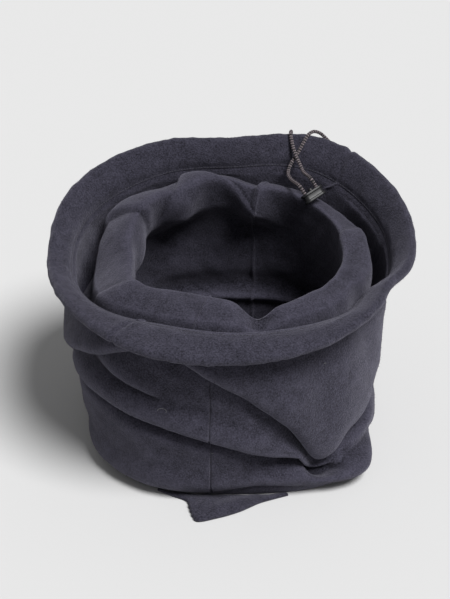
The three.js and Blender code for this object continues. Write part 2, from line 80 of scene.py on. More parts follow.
PAINTED_BEND_LIGHTING = 5.0  # how strongly bends are painted: painted highlight on outward bends, painted shade in inward ones

# Hem
HEM_PUFF = 5.2
CHANNEL = HEM_PUFF - FLEECE
CORD_BELOW_FOLD = 14.0
EXIT_LEFT = 159.9
EXIT_RIGHT = 146.0
EXIT_D = 5.6
HEM_COLUMNS = 720
HEM_JOINTS = (-40.0, 139.0)
HEM_REACH = 166.0  # about how far the hem stands from the middle
JOINT_DEPTH = 1.5
JOINT_WIDTH = 1.7
HEM_STEPS = 22
PUCKER_LENGTH = 19.0
PUCKER = 0.36

# Rings of the lower wall
RINGS = {
    "floor": dict(front=122, right=124, back=104, left=134, height=FLEECE / 2, power=2.7, flare=0.9),
    "heel": dict(front=138, right=141, back=118, left=150, height=19, power=2.6, flare=1),
    "low": dict(front=136, right=146, back=127, left=153, height=44, power=2.4, flare=0.6),
}

# Sections through the rim, one every 30 degrees from the front round by the right
SECTION_STEP = 30.0
SECTION_COLUMNS = (
    "ridgeR", "ridgeZ", "shelf", "valleyR", "valleyZ", "stitchR", "stitchZ", "mouthR", "mouthZ",
)
SECTION_ROWS = np.array([
    [96, 214, 26, 138, 142, 127, 203, 161, 187],
    [102, 207, 12, 141, 87, 126, 197, 162, 192],
    [106, 207, 12, 143, 58, 136, 188, 168, 205],
    [113, 207, 18, 145, 84, 156, 182, 183, 214],
    [122, 213, 14, 148, 114, 170, 200, 194, 238],
    [125, 221, 8, 147, 154, 168, 222, 192, 258],
    [116, 233, 8, 141, 180, 142, 228, 153, 265],
    [120, 231, 14, 150, 172, 152, 224, 170, 262],
    [120, 217, 32, 163, 144, 169, 203, 189, 241],
    [102, 206, 38, 168, 116, 158, 187, 185, 209],
    [108, 209, 22, 160, 146, 146, 194, 180, 204],
    [92, 213, 34, 141, 178, 128, 201, 174, 194],
], float)

# Folds draped across the outer wall: az0, z0, az1, z1, az2, z2, lip, tuck, width
FOLD_ROWS = {
    "front_sash": (-104, 98, -14, 88, 60, 4, 7, 8, 18),
    "left_drape": (-70, 146, -47, 136, -26, 124, 3, 2, 14),
    "right_drape": (62, 36, 96, 34, 150, 60, 5, 5, 16),
    "back_sash": (120, 84, 172, 92, 226, 84, 6, 6, 17),
    "left_sash": (190, 40, 230, 48, 290, 36, 5, 5, 16),
}

# Profile of a draped fold, in its widths: place above its line and length of its lip, its tuck and its slip
FOLD_LIP = (0.5, 0.6)
FOLD_TUCK = (-0.5, 0.5)
FOLD_SLIP = (0.1, 0.6)
FOLD_DROP = 0.35
FOLD_ENDS = 0.2  # share of its way over which it forms

# Local changes: how far they drop and push in the inner fold, pull in the hem, push out the heel,
# drop the bottom of the cuff and swell the wall below it
DENT_COLUMNS = ("azimuth", "spread", "drop", "push", "hem", "heel", "cuff", "swell")
DENT_ROWS = {
    "front_notch": (13, 8, 13, 8, 0, 0, 0, 0),
    "left_pleat": (-116, 11, -2, -12, 0, 0, 0, 0),
    "back_left_pleat": (-152, 9, 5, -10, 0, 0, 0, 0),
    "back_pleat": (168, 9, 4, -9, 0, 0, 0, 0),
    "right_waist": (71, 9, 0, 0, -9, 0, 0, 0),
    "right_heel": (52, 20, 0, 0, 0, 14, 0, 0),
    "cuff_point": (37, 9, 0, 0, 0, 0, 32, 0),
    "right_swell": (64, 15, 0, 0, 0, 0, 0, 7),
}

# Places on the cloth are counted in stations: 0 is the floor, 6 the ridge of the inner fold, 10 the bottom
# of the gap behind it, 16 the hem. Four places say where something starts, is full, starts to end and ends.
OUTER_WALL = (1, 2, 3.5, 4.5)
INNER_FOLD = (4.6, 6, 7.6, 9)
HANGING = (0.3, 1, 13, 14)

# Pleats across the inner fold, one layer over the next: azimuth of the edge, spread of the upper layer
# to one side, height, slant
PLEAT_ROWS = [
    (-124, -16, 6.0, 5), (-154, -22, 5.0, -10), (-167, 14, 4.0, 19), (166, -10, 4.0, -2),
    (-64, 10, 2.5, -7), (112, -10, 2.5, 7),
]
PLEAT_PLACE = 6.5
PLEAT_EDGE = 1.5  # degrees over which an upper layer drops

# Creases along the draped folds, as a share of a fold's lip: a small lip and a groove below it
CREASE = 0.36
CREASE_LIP_SHARE = 0.6
CREASE_LIP = (-0.1, 0.25)
CREASE_GROOVE = (-0.6, 0.25)

# Hollows and swellings of the cloth: azimuth, spread, how far out, places
SWELL_ROWS = {
    "pocket_under_cuff": (40, 24, -9.0, (1.2, 2.2, 3, 4.2)),
    "cuff_overhang": (40, 24, 5.0, (9.8, 10.4, 11.4, 13)),
    "left_sag": (-99, 24, 14.0, (6.1, 7.1, 7.6, 9)),
}
HEEL_POINT = 8.0
HEEL_AT = (52, 9)  # azimuth and spread
HEEL_PLACE = (1.1, 0.5)
UNDERCUT = 8.0  # how far the wall turns in below the front sash
UNDERCUT_AT = (14, 20)
UNDERCUT_BELOW = (4, 20)
UNDERCUT_PLACES = (0, 0.6, 2.5, 3)
WRINKLE_LENGTH = 62.0
WRINKLE = 1.1
DIMPLE_LENGTH = 21.0
DIMPLE = 0.28

# Free strands beside the hem: azimuth, height above its fold, distance outside its middle
STRAND_LEFT = [
    (EXIT_LEFT, -11.6, 2.4), (EXIT_LEFT, -8.8, 5.4), (EXIT_LEFT, -5, 7.6), (159.7, 0.3, 5.8),
    (159.4, 2.5, 0.2), (159, 0.2, -5.8), (158.2, -6, -8.6), (156.9, -15, -11),
    (154.9, -25, -13.8), (152.4, -34, -17), (150, -41, -20.5),
]
STRAND_RIGHT = [
    (EXIT_RIGHT, -11.6, 2.4), (EXIT_RIGHT, -8.8, 5.4), (146.8, -4.2, 8.8), (149.6, 2, 8.6),
    (151.2, 5, 4.6), (152.5, 4.6, -1.4), (153.3, -0.5, -7), (154.1, -11, -8.8),
    (155.2, -23, -9), (156.3, -34, -11.6), (156, -44, -16.6), (152.8, -52, -29),
]

# Cord lock
LOCK_LENGTH = 26.5
LOCK_WIDTH = 12.5
LOCK_HEIGHT = 10.4
LOCK_FLANGE = 2.8
LOCK_WAIST_INSET = 1.2
LOCK_WAIST_BOW = 0.25
LOCK_WAIST_END = 0.2
LOCK_EDGE = 0.8
LOCK_SIDES = 64
LOCK_CENTRE = (85.6, 92.2 + CENTRE_Y, 228.0)
LOCK_AZIMUTH = 122.0
LOCK_RISE = 18.0
LOCK_ROLL = 42.0
LOCK_HOLE_D = 4.9
LOCK_HOLE_PITCH = 15.0
LOCK_HOLE_DEPTH = 6.0
HOLE_END_GAP = 0.3
BUTTON_D = 5.0
BUTTON_PROUD = 3.2
BUTTON_DEPTH = 4.0
BUTTON_TRAVEL = 2.6
BUTTON_CLEARANCE = 0.15
BUTTON_DOME = 1.5
BUTTON_SIDES = 36
BUTTON_BEVEL = 0.3
DRILL_SIDES = 28

# Bottom corner: its root runs along the base, and its free edge follows these plan points
CORNER_FROM = -33.0
CORNER_TO = 24.0
CORNER_OFFSET = 4.2
CORNER_EDGE = [
    (-76, -117.5), (-62, -126), (-46, -135.5), (-42.5, -150), (-36, -165),
    (-15, -160.5), (8, -150.5), (28, -137.5), (43, -131), (57, -125.5),
]
CORNER_COLUMNS = 320
CORNER_ROWS = 60
CORNER_LAYERS = 2 * FLEECE
CORNER_HUMP = 2.0
CORNER_SWELL = 0.12
CORNER_ROUND = 3.0
CORNER_CROWD = 1.6  # brings the rows closer to the free edge
CORNER_SEWN = (0.2, 0.26, 0.4, 0.44)  # where stitches pucker the free edge
CORNER_PUCKER = 0.5
CORNER_PUCKER_REACH = 9.0
CORNER_WRINKLE = 0.35
CORNER_WRINKLE_LENGTH = 16.0
CORNER_CURL = 0.7  # how far the free edge stands off the floor
CORNER_THINNEST = 0.4
SCALLOP = 1.3
SCALLOP_LENGTH = 6.5

# Braided cord
BRAID_CARRIERS = 6  # yarns that run each way round
BRAID_LEAD = 16.5
FLECK = 0.5  # how much lighter the one way's yarns are where they lie on top
FLECK_FROM = 0.45
# tone of the dark yarns, also painted on the pale yarns where they lie under, as painted shade
DARK_AND_SHADED_YARN = -0.6
YARN_R = 0.56
YARN_SIDES = 7
BRAID_WAVE = 0.22
YARN_STEP = 0.5
HIDDEN_STEPS = 420
HIDDEN_SIDES = 12
HIDDEN_END = 0.8  # degrees that the hidden run stops short of the holes
HIDDEN_RIPPLE = 0.05
HIDDEN_FLECKS = (0.3, -0.4)

# Sewing
STITCH_PITCH = 3.2
STITCH_LENGTH = 2.5
THREAD_R = 0.25
HEM_STITCH = 6.9  # from the root of the hem
HEM_STITCH_OUT = 1.95
EYELET_R = 3.7
EYELET_PITCH = 1.1
EYELET_STITCH = 1.7
EYELET_THREAD = 0.38
EYELET_OUT = 0.4

# Loose fibres on the fleece
FIBRE_DENSITY = 65000.0  # per square metre
FIBRE_LENGTH = 1.5
FIBRE_R = 0.14
FIBRE_LEAN = (1.2, 1.2, 3.1)  # radians at most, either way
FIBRE_LOWEST = 4.0
SEED = 11

# Bits of lint: place, size and turn
LINT_ROWS = [
    (-68, -133, 110, 4.2, 3.6), (121, 127, 226, 0.9, 6.0),
    (96, -118, 150, 1.0, 5.0), (-20, -148, 62, 1.2, 3.0),
]
LINT_R = 0.2
LINT_STEPS = 24

# Stage
FLOOR_REACH = 20.0  # metres
FLOOR_GREY = 0.62
WORLD_STRENGTH = 0.24
SUN_FROM = (0.42, -0.4, 1.0)
SUN_STRENGTH = 3.9
SUN_ANGLE = 24.0


def smooth(x, low, high):
    t = np.clip((x - low) / (high - low), 0.0, 1.0)
    return t * t * (3 - 2 * t)


def bell(x):
    return np.exp(-np.square(x))


def hump(x, place, length):
    return bell((x - place) / length)


def band(x, start, full, ending, end):
    return smooth(x, start, full) * (1 - smooth(x, ending, end))


def wrap(degrees):
    return (degrees + 180.0) % 360.0 - 180.0


def near(azimuth, middle, spread):
    return bell(wrap(azimuth - middle) / spread)


def lerp(a, b, t):
    return a + (b - a) * t


def around(azimuth, reach, height):
    turn = np.radians(azimuth)
    return np.stack(np.broadcast_arrays(
        reach * np.sin(turn), CENTRE_Y - reach * np.cos(turn), height), axis=-1)


def section(name, azimuth):
    """One column of the section table at any azimuth, on a closed smooth curve."""
    column = SECTION_ROWS[:, SECTION_COLUMNS.index(name)]
    at = (np.asarray(azimuth, float) % 360.0) / SECTION_STEP
    i = np.floor(at).astype(int)
    t = at - i
    a, b, c, d = (column[(i + k) % len(column)] for k in (-1, 0, 1, 2))
    return b + 0.5 * t * (c - a + t * (2 * a - 5 * b + 4 * c - d + t * (3 * (b - c) + d - a)))


def dent(name, azimuth):
    k = DENT_COLUMNS.index(name)
    return sum(row[k] * near(azimuth, row[0], row[1]) for row in DENT_ROWS.values())


def ring_reach(name, azimuth):
    ring = RINGS[name]
    s = np.sin(np.radians(azimuth))
    c = np.cos(np.radians(azimuth))
    across = np.abs(s) / np.where(s > 0, ring["right"], ring["left"])
    along = np.abs(c) / np.where(c > 0, ring["front"], ring["back"])
    power = ring["power"]
    return ring["flare"] * dent("heel", azimuth) + (across ** power + along ** power) ** (-1 / power)


def hem_at(azimuth):
    """The hem's sewn root, its fold, the direction between them and the distance."""
    pull = dent("hem", azimuth)
    stitch = np.stack([section("stitchR", azimuth) + pull, section("stitchZ", azimuth)], -1)
    mouth = np.stack([section("mouthR", azimuth) + pull, section("mouthZ", azimuth)], -1)
    length = np.linalg.norm(mouth - stitch, axis=-1)
    return stitch, mouth, (mouth - stitch) / length[..., None], length


def beside_hem(azimuth, above, outside):
    _, mouth, up, _ = hem_at(azimuth)
    reach = mouth[..., 0] + above * up[..., 0] + outside * up[..., 1]
    return around(azimuth, reach, mouth[..., 1] + above * up[..., 1] - outside * up[..., 0])


def unit(v):
    return v / np.maximum(np.linalg.norm(v, axis=-1, keepdims=True), 1e-9)


def wall_stations(azimuth):
    """The cut through the cloth at each azimuth, from the floor to the hem: reach and height."""
    azimuth = np.asarray(azimuth, float)
    push = dent("push", azimuth)

    def point(r, z):
        return np.stack(np.broadcast_arrays(r, z), -1).astype(float)

    ridge = point(section("ridgeR", azimuth) + 0.4 * push, section("ridgeZ", azimuth) - dent("drop", azimuth))
    valley = point(section("valleyR", azimuth), section("valleyZ", azimuth) - dent("cuff", azimuth))
    stitch, _, up, _ = hem_at(azimuth)
    neck = valley + (-CUFF_CLEARANCE, -2)
    floor = point(ring_reach("floor", azimuth), RINGS["floor"]["height"])
    heel = point(ring_reach("heel", azimuth), RINGS["heel"]["height"])
    low = point(ring_reach("low", azimuth), np.minimum(RINGS["low"]["height"], 0.6 * neck[..., 1]))
    belly = lerp(low, neck, 0.55) + point(5 + dent("swell", azimuth), 0)
    hang = lerp(valley, stitch, 0.5) + (6, 0)
    rise = unit(stitch - hang)
    turn = unit(up - rise)
    bend = np.arccos(np.clip((rise * up).sum(-1), -1, 1))
    throat = point(ridge[..., 0] + 3 + push, lerp(ridge[..., 1], neck[..., 1], 0.45) - 4)
    lip_r = np.minimum(ridge[..., 0] + 8 + section("shelf", azimuth), stitch[..., 0] - LIP_CLEARANCE)
    lip = point(lip_r, ridge[..., 1] - 2 - 0.28 * (lip_r - ridge[..., 0]))
    stations = [
        floor, heel, low, belly, neck, throat, ridge, lip,
        lerp(lip, valley, 0.5) + (-4, 0),
        valley + (-BEND, 6), valley, valley + (BEND, 6), hang,
        stitch - HEM_ROOT * rise,
        stitch + turn * (HEM_ROOT * np.tan(bend / 4))[..., None],
        stitch + HEM_ROOT * up,
        stitch + HEM_START * up,
    ]
    return np.stack(stations, axis=-2)


def along_curve(points, place, ease=None):
    """A point at a place along a smooth curve through points; both may carry leading axes.

    Where a point's ease is below 1, the curve turns more sharply there.
    """
    first = 2 * points[..., :1, :] - points[..., 1:2, :]
    last = 2 * points[..., -1:, :] - points[..., -2:-1, :]
    padded = np.concatenate([first, points, last], axis=-2)
    if points.ndim == 2:
        padded = np.broadcast_to(padded, (*np.shape(place), *padded.shape))
    i = np.clip(np.floor(place).astype(int), 0, points.shape[-2] - 2)
    t = (place - i)[..., None]
    x0, x1, x2, x3 = (
        np.take_along_axis(padded, (i + k)[..., None, None], axis=-2)[..., 0, :] for k in range(4))
    d0, d1, d2 = (
        np.sqrt(np.maximum(np.linalg.norm(b - a, axis=-1, keepdims=True), 1e-6))
        for a, b in ((x0, x1), (x1, x2), (x2, x3)))
    t1 = ((x1 - x0) / d0 - (x2 - x0) / (d0 + d1) + (x2 - x1) / d1) * d1
    t2 = ((x2 - x1) / d1 - (x3 - x1) / (d1 + d2) + (x3 - x2) / d2) * d1
    if ease is not None:
        t1 = t1 * np.asarray(ease)[i][..., None]
        t2 = t2 * np.asarray(ease)[i + 1][..., None]
    return x1 + t * (t1 + t * (-3 * x1 + 3 * x2 - 2 * t1 - t2 + t * (2 * x1 - 2 * x2 + t1 + t2)))


def fold_lines(azimuth):
    """Each draped fold of the outer wall: its height, how fully it is formed, its lip, tuck and width."""
    for az0, z0, az1, z1, az2, z2, lip, tuck, width in FOLD_ROWS.values():
        along = ((azimuth - az0) % 360.0) / (az2 - az0)
        middle = (az1 - az0) / (az2 - az0)
        bend = (z1 - lerp(z0, z2, middle)) / (middle * (1 - middle))
        line = lerp(z0, z2, along) + bend * along * (1 - along)
        ends = np.where(along < 1, smooth(along, 0, FOLD_ENDS) * smooth(1 - along, 0, FOLD_ENDS), 0.0)
        yield line, ends, lip, tuck, width


def fold_offset(azimuth, z):
    """How far the draped folds move the outer wall out and down."""
    out = np.zeros_like(z)
    down = np.zeros_like(z)
    for line, ends, lip, tuck, width in fold_lines(azimuth):
        d = (z - line) / width
        out += ends * (lip * hump(d, *FOLD_LIP) - tuck * hump(d, *FOLD_TUCK))
        down += ends * FOLD_DROP * width * hump(d, *FOLD_SLIP)
    return out, down


def column_azimuth(side, share, place):
    to = BACK_SEAM if side > 0 else BACK_SEAM - 360
    slip = smooth(place, TWIST_FROM, LAST_STATION)
    crowd = CROWD * (1 - slip)
    return lerp(FRONT_SEAM, to, share * (1 - crowd * (1 - share))) + TWIST * slip


def wall_points(side, share, place):
    """Points of the cloth's middle surface; share and place broadcast against each other."""
    share, place = np.broadcast_arrays(share, place)
    azimuth = column_azimuth(side, share, place)
    cut = along_curve(wall_stations(azimuth), place, STATION_EASE)
    strength = band(place, *OUTER_WALL)
    out, down = fold_offset(azimuth, cut[..., 1])
    return around(azimuth, cut[..., 0] + strength * out, cut[..., 1] - strength * down)


def cloth_grid(side, shares):
    """Rows of the middle surface from the bottom seam to the hem, one column per share."""
    def floor_at(azimuth):
        return around(azimuth, ring_reach("floor", azimuth), FLEECE / 2)

    ends = lerp(SEAM_END, 1 - SEAM_END, shares)[:, None]
    seam = lerp(floor_at(FRONT_SEAM), floor_at(BACK_SEAM), ends)
    floor = floor_at(column_azimuth(side, shares, np.zeros_like(shares)))
    steps = (np.arange(BASE_ROWS) / BASE_ROWS)[:, None, None]
    base = lerp(seam[None], floor[None], steps)
    places = np.concatenate(
        [i + np.arange(n * ROWS_PER_SHARE) / (n * ROWS_PER_SHARE) for i, n in enumerate(ROW_SHARES)]
        + [[LAST_STATION]])
    wall = wall_points(side, shares[None, :], places[:, None])
    return np.concatenate([base, wall]), np.concatenate([np.full(BASE_ROWS, -1.0), places])


def waves(points, length, seed):
    """Smooth random waves through space, about one in size."""
    rng = np.random.default_rng(seed)
    total = np.zeros(points.shape[:-1])
    count = 7
    for _ in range(count):
        way = rng.normal(size=3)
        rate = 2 * math.pi / (length * rng.uniform(0.75, 1.35) * np.linalg.norm(way))
        total += np.sin(rate * (points @ way) + rng.uniform(0, 2 * math.pi))
    return total / math.sqrt(count)


def wrinkles(grid, azimuth, place):
    """How far the cloth's small folds lift it: pleats, creases, hollows, and soft wrinkles everywhere."""
    height = grid[..., 2]
    lift = np.zeros(grid.shape[:2])
    for middle, spread, rise, slant in PLEAT_ROWS:
        d = wrap(azimuth - middle - slant * (place - PLEAT_PLACE))
        edge = smooth(d * np.sign(spread), -PLEAT_EDGE, PLEAT_EDGE)
        lift -= rise * edge * bell(d / spread) * band(place, *INNER_FOLD)
    for line, ends, lip, _, width in fold_lines(azimuth):
        d = (height - line) / width
        crease = CREASE_LIP_SHARE * hump(d, *CREASE_LIP) - hump(d, *CREASE_GROOVE)
        lift += band(place, *OUTER_WALL) * ends * CREASE * lip * crease
    for middle, spread, out, places in SWELL_ROWS.values():
        lift += out * near(azimuth, middle, spread) * band(place, *places)
    lift += HEEL_POINT * near(azimuth, *HEEL_AT) * hump(place, *HEEL_PLACE)
    sash = next(fold_lines(azimuth))[0]
    below = near(azimuth, *UNDERCUT_AT) * smooth(sash - height, *UNDERCUT_BELOW)
    lift -= UNDERCUT * below * band(place, *UNDERCUT_PLACES)
    soft = WRINKLE * waves(grid, WRINKLE_LENGTH, SEED) + DIMPLE * waves(grid, DIMPLE_LENGTH, SEED + 1)
    return lift + band(place, *HANGING) * soft


def grid_normals(grid, flat_rows):
    across = np.gradient(grid, axis=1)
    along = np.gradient(grid, axis=0)
    normal = unit(np.cross(across, along))
    normal[:flat_rows] = (0, 0, -1)
    return normal


def slow_normals(normal, reach):
    """Normals that turn slowly from row to row, so that moving a crisp fold along them doesn't tear it."""
    padded = np.pad(normal, ((reach, reach), (0, 0), (0, 0)), mode="edge")
    return unit(sum(padded[k:k + len(normal)] for k in range(2 * reach + 1)))


def fold_edges(grid, normal, reach):
    """How sharply the cloth bends outwards at each point, per millimetre, over a few steps."""
    bend = np.zeros(grid.shape[:2])
    for axis in (0, 1):
        ahead = np.roll(grid, -reach, axis) - grid
        behind = np.roll(grid, reach, axis) - grid
        da = np.maximum(np.linalg.norm(ahead, axis=-1), 0.5)
        db = np.maximum(np.linalg.norm(behind, axis=-1), 0.5)
        turn = 2 * (ahead / da[..., None] + behind / db[..., None]) / (da + db)[..., None]
        part = -(turn * normal).sum(-1)
        keep = [slice(None), slice(None)]
        keep[axis] = slice(reach, -reach)
        bend[tuple(keep)] += part[tuple(keep)]
    return bend


def shell_faces(rows, columns):
    """Quads of a closed shell with an outer and an inner layer of one grid."""
    inner = rows * columns
    at = np.arange(inner).reshape(rows, columns)
    a, b, c, d = at[:-1, :-1], at[:-1, 1:], at[1:, 1:], at[1:, :-1]
    quads = [(a, b, c, d), (a + inner, d + inner, c + inner, b + inner)]
    for rim, inwards in ((at[0], True), (at[-1], False), (at[:, 0], False), (at[:, -1], True)):
        p, q = rim[:-1], rim[1:]
        quads.append((p, p + inner, q + inner, q) if inwards else (p, q, q + inner, p + inner))
    return np.concatenate([np.stack(corners, -1).reshape(-1, 4) for corners in quads])


def tube_faces(rings, sides, closed):
    i = np.arange(rings if closed else rings - 1)[:, None]
    k = np.arange(sides)[None, :]
    here, there = i * sides, ((i + 1) % rings) * sides
    turn = (k + 1) % sides
    return np.stack(np.broadcast_arrays(here + k, here + turn, there + turn, there + k), -1).reshape(-1, 4)


def capped_tube(rings, sides):
    """Faces of a tube with a flat cap at each end."""
    faces = tube_faces(rings, sides, False).tolist()
    last = (rings - 1) * sides
    faces.append(list(range(sides))[::-1])
    faces.append([last + k for k in range(sides)])
    return faces


def turns(count):
    return np.arange(count) * 2 * math.pi / count


def tube_rings(path, u, v, reach, sides):
    angle = turns(sides)[None, :, None]
    return path[:, None] + reach * (np.cos(angle) * u[:, None] + np.sin(angle) * v[:, None])


def put(name, data):
    """Adds an object at the origin."""
    thing = bpy.data.objects.new(name, data)
    bpy.context.scene.collection.objects.link(thing)
    return thing


def finished_mesh(thing):
    """A plain mesh of an object with its modifiers."""
    depsgraph = bpy.context.evaluated_depsgraph_get()
    return bpy.data.meshes.new_from_object(thing.evaluated_get(depsgraph))


def new_mesh(name, points, edges, faces, **values):
    """A mesh from points in millimetres; each kind of value has one number for every point."""
    mesh = bpy.data.meshes.new(name)
    mesh.from_pydata((np.asarray(points) * MM).tolist(), edges, faces)
    for title, numbers in values.items():
        layer = mesh.attributes.new(title, "FLOAT", "POINT")
        layer.data.foreach_set("value", np.asarray(numbers, np.float32))
    return mesh


def mesh_piece(name, points, faces, material, **values):
    mesh = new_mesh(name, points, [], faces, **values)
    mesh.materials.append(material)
    mesh.polygons.foreach_set("use_smooth", [True] * len(mesh.polygons))
    mesh.update()
    return put(name, mesh)


def seat(piece, body, slot, *nodes):
    """Gives a finished piece its body and hides the solids that it stands for; its finish is not used."""
    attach(piece, body)
    if nodes:
        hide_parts(*nodes)
    return piece


# Shader effects
def add_inputs(tree, inputs):
    for title, kind, value in inputs:
        socket = tree.interface.new_socket(title, in_out="INPUT", socket_type="NodeSocket" + kind)
        if value is not None:
            socket.default_value = value


def ends_of(tree):
    return tree, tree.nodes.new("NodeGroupInput"), tree.nodes.new("NodeGroupOutput")


def set_inputs(node, **values):
    """Sets a node's inputs by name, with _ for a space."""
    for title, value in values.items():
        node.inputs[title.replace("_", " ")].default_value = value


def add(tree, kind, **inputs):
    node = tree.nodes.new(kind)
    set_inputs(node, **inputs)
    return node


def link(tree, source, target):
    tree.links.new(source, target)


def wire(tree, *rows):
    """Links nodes: each row is a node, its output, the next node and its input."""
    for source, out, target, into in rows:
        link(tree, source.outputs[out], target.inputs[into])


def calc(tree, operation, a, b, clamp=False):
    node = tree.nodes.new("ShaderNodeMath")
    node.operation = operation
    node.use_clamp = clamp
    for value, socket in ((a, node.inputs[0]), (b, node.inputs[1])):
        if isinstance(value, (int, float)):
            socket.default_value = value
        else:
            link(tree, value, socket)
    return node.outputs[0]


def noise(tree, vector, scale, detail, roughness):
    node = add(tree, "ShaderNodeTexNoise", Detail=detail, Roughness=roughness)
    link(tree, scale, node.inputs["Scale"])
    link(tree, vector, node.inputs["Vector"])
    return node.outputs["Fac"]


def fibre_nap_group():
    """Brushed fibres: a shade that varies in tufts and clouds, plus a given mark, and their height; on the
    fleece that mark is painted light and shade on its bends.
    """
    group, given, result = ends_of(bpy.data.node_groups.new("fibre_nap", "ShaderNodeTree"))
    add_inputs(group, [
        ("Vector", "Vector", None), ("Tuft Scale", "Float", 900.0), ("Cloud Scale", "Float", 60.0),
        ("Tuft Share", "Float", 0.7), ("Cloud Share", "Float", 0.5), ("Painted Light And Fleck", "Float", 0.0),
        ("Edge Share", "Float", 0.5)])
    for title in ("Shade", "Height"):
        group.interface.new_socket(title, in_out="OUTPUT", socket_type="NodeSocketFloat")
    out = given.outputs
    tuft = noise(group, out["Vector"], out["Tuft Scale"], 3.0, 0.6)
    cloud = noise(group, out["Vector"], out["Cloud Scale"], 4.0, 0.55)
    shade = calc(group, "MULTIPLY", calc(group, "SUBTRACT", tuft, 0.5), out["Tuft Share"])
    drift = calc(group, "MULTIPLY", calc(group, "SUBTRACT", cloud, 0.5), out["Cloud Share"])
    # the given mark: painted highlight and painted shade on the fleece's bends; on the cord, its flecks and
    # the painted shade where its pale yarns lie under
    edge = calc(group, "MULTIPLY", out["Painted Light And Fleck"], out["Edge Share"])
    total = calc(group, "ADD", calc(group, "ADD", shade, drift), calc(group, "ADD", edge, 0.5), True)
    link(group, total, result.inputs["Shade"])
    link(group, calc(group, "ADD", tuft, calc(group, "MULTIPLY", cloud, 0.6)), result.inputs["Height"])
    return group


FIBRE_NAP = fibre_nap_group()
FLEECE_NAP = dict(Tuft_Scale=620.0, Cloud_Scale=90.0, Tuft_Share=1.9, Cloud_Share=0.7, Edge_Share=0.5)
FLEECE_BUMP = dict(Strength=0.8, Distance=0.0014)
THREAD_NAP = dict(Tuft_Scale=2600.0, Cloud_Scale=420.0, Tuft_Share=0.8, Cloud_Share=0.9, Edge_Share=1.0)
THREAD_BUMP = dict(Strength=0.4, Distance=0.0002)
PLASTIC_NAP = dict(Tuft_Scale=1800.0, Cloud_Scale=260.0, Tuft_Share=0.3, Cloud_Share=0.8)
PLASTIC_BUMP = dict(Strength=0.08, Distance=0.0002)
PLASTIC_ROUGHNESS = (0.34, 0.2)  # least, and how much the nap adds


def new_material(name):
    material = bpy.data.materials.new(name)
    material.use_nodes = True
    tree = material.node_tree
    return material, tree, tree.nodes["Principled BSDF"]


def napped(name, dark, light, nap, bump, **look):
    """A material in two colours, mixed by a nap that also lifts the surface."""
    material, tree, shader = new_material(name)
    node = tree.nodes.new("ShaderNodeGroup")
    node.node_tree = FIBRE_NAP
    set_inputs(node, **nap)
    spot = add(tree, "ShaderNodeTexCoord")
    mix = add(tree, "ShaderNodeMix")
    mix.data_type = "RGBA"
    mix.inputs[6].default_value = (*dark, 1)
    mix.inputs[7].default_value = (*light, 1)
    lift = add(tree, "ShaderNodeBump", **bump)
    wire(tree, (spot, "Object", node, "Vector"), (node, "Shade", mix, 0), (mix, 2, shader, "Base Color"),
         (node, "Height", lift, "Height"), (lift, "Normal", shader, "Normal"))
    set_inputs(shader, **look)
    return material, tree, shader, node


def cloth_material(name, dark, light, title, nap, bump, **look):
    """A napped material that one of the mesh's own values makes lighter or darker."""
    material, tree, _, node = napped(name, dark, light, nap, bump, **look)
    value = add(tree, "ShaderNodeAttribute")
    value.attribute_name = title
    wire(tree, (value, "Fac", node, "Painted Light And Fleck"))
    return material


def fleece_material(name, dark, light):
    # the fold_edge value paints light on the cloth's outward bends and shade in its inward bends
    return cloth_material(
        name, dark, light, "fold_edge", FLEECE_NAP, FLEECE_BUMP, Roughness=0.96, Specular_IOR_Level=0.12,
        Sheen_Weight=0.2, Sheen_Roughness=0.5, Sheen_Tint=(0.8, 0.78, 0.95, 1))


def thread_material(name, dark, light):
    # these values hold the yarn's flecks and, on the braided cord, painted shade where the pale yarns lie
    # under
    return cloth_material(
        name, dark, light, "fleck", THREAD_NAP, THREAD_BUMP, Roughness=0.62, Sheen_Weight=0.12)


def plastic_material(name, dark, light):
    material, tree, shader, node = napped(
        name, dark, light, PLASTIC_NAP, PLASTIC_BUMP, Specular_IOR_Level=0.36)
    least, more = PLASTIC_ROUGHNESS
    rough = calc(tree, "ADD", calc(tree, "MULTIPLY", node.outputs["Shade"], more), least)
    link(tree, rough, shader.inputs["Roughness"])
    return material


BODY_FLEECE = fleece_material("body_fleece", (0.006, 0.0057, 0.009), (0.058, 0.0552, 0.079))
HEM_FLEECE = fleece_material("hem_fleece", (0.0065, 0.0062, 0.0095), (0.06, 0.0572, 0.082))
CORD_YARN = thread_material("cord_yarn", (0.004, 0.0038, 0.0042), (0.24, 0.19, 0.212))
SEWING_THREAD = thread_material("sewing_thread", (0.02, 0.02, 0.026), (0.07, 0.068, 0.085))
LINT_HAIR = thread_material("lint_hair", (0.05, 0.05, 0.055), (0.2, 0.2, 0.21))
LOCK_PLASTIC = plastic_material("lock_plastic", (0.006, 0.006, 0.007), (0.016, 0.016, 0.018))


# Geometry trees
def new_tree(name, inputs):
    tree = bpy.data.node_groups.new(name, "GeometryNodeTree")
    add_inputs(tree, [("Geometry", "Geometry", None), *inputs, ("Material", "Material", None)])
    tree.interface.new_socket("Geometry", in_out="OUTPUT", socket_type="NodeSocketGeometry")
    return ends_of(tree)


def shapers(tree, *kinds):
    """New geometry nodes, one of each kind."""
    return [tree.nodes.new("GeometryNode" + kind) for kind in kinds]


def finish_tree(tree, given, result, geometry):
    """Realizes, smooths and colours what a tree has made."""
    real, soft, paint = shapers(tree, "RealizeInstances", "SetShadeSmooth", "SetMaterial")
    link(tree, geometry, real.inputs["Geometry"])
    wire(tree, (real, "Geometry", soft, "Geometry"), (soft, "Geometry", paint, "Geometry"),
         (given, "Material", paint, "Material"), (paint, "Geometry", result, "Geometry"))


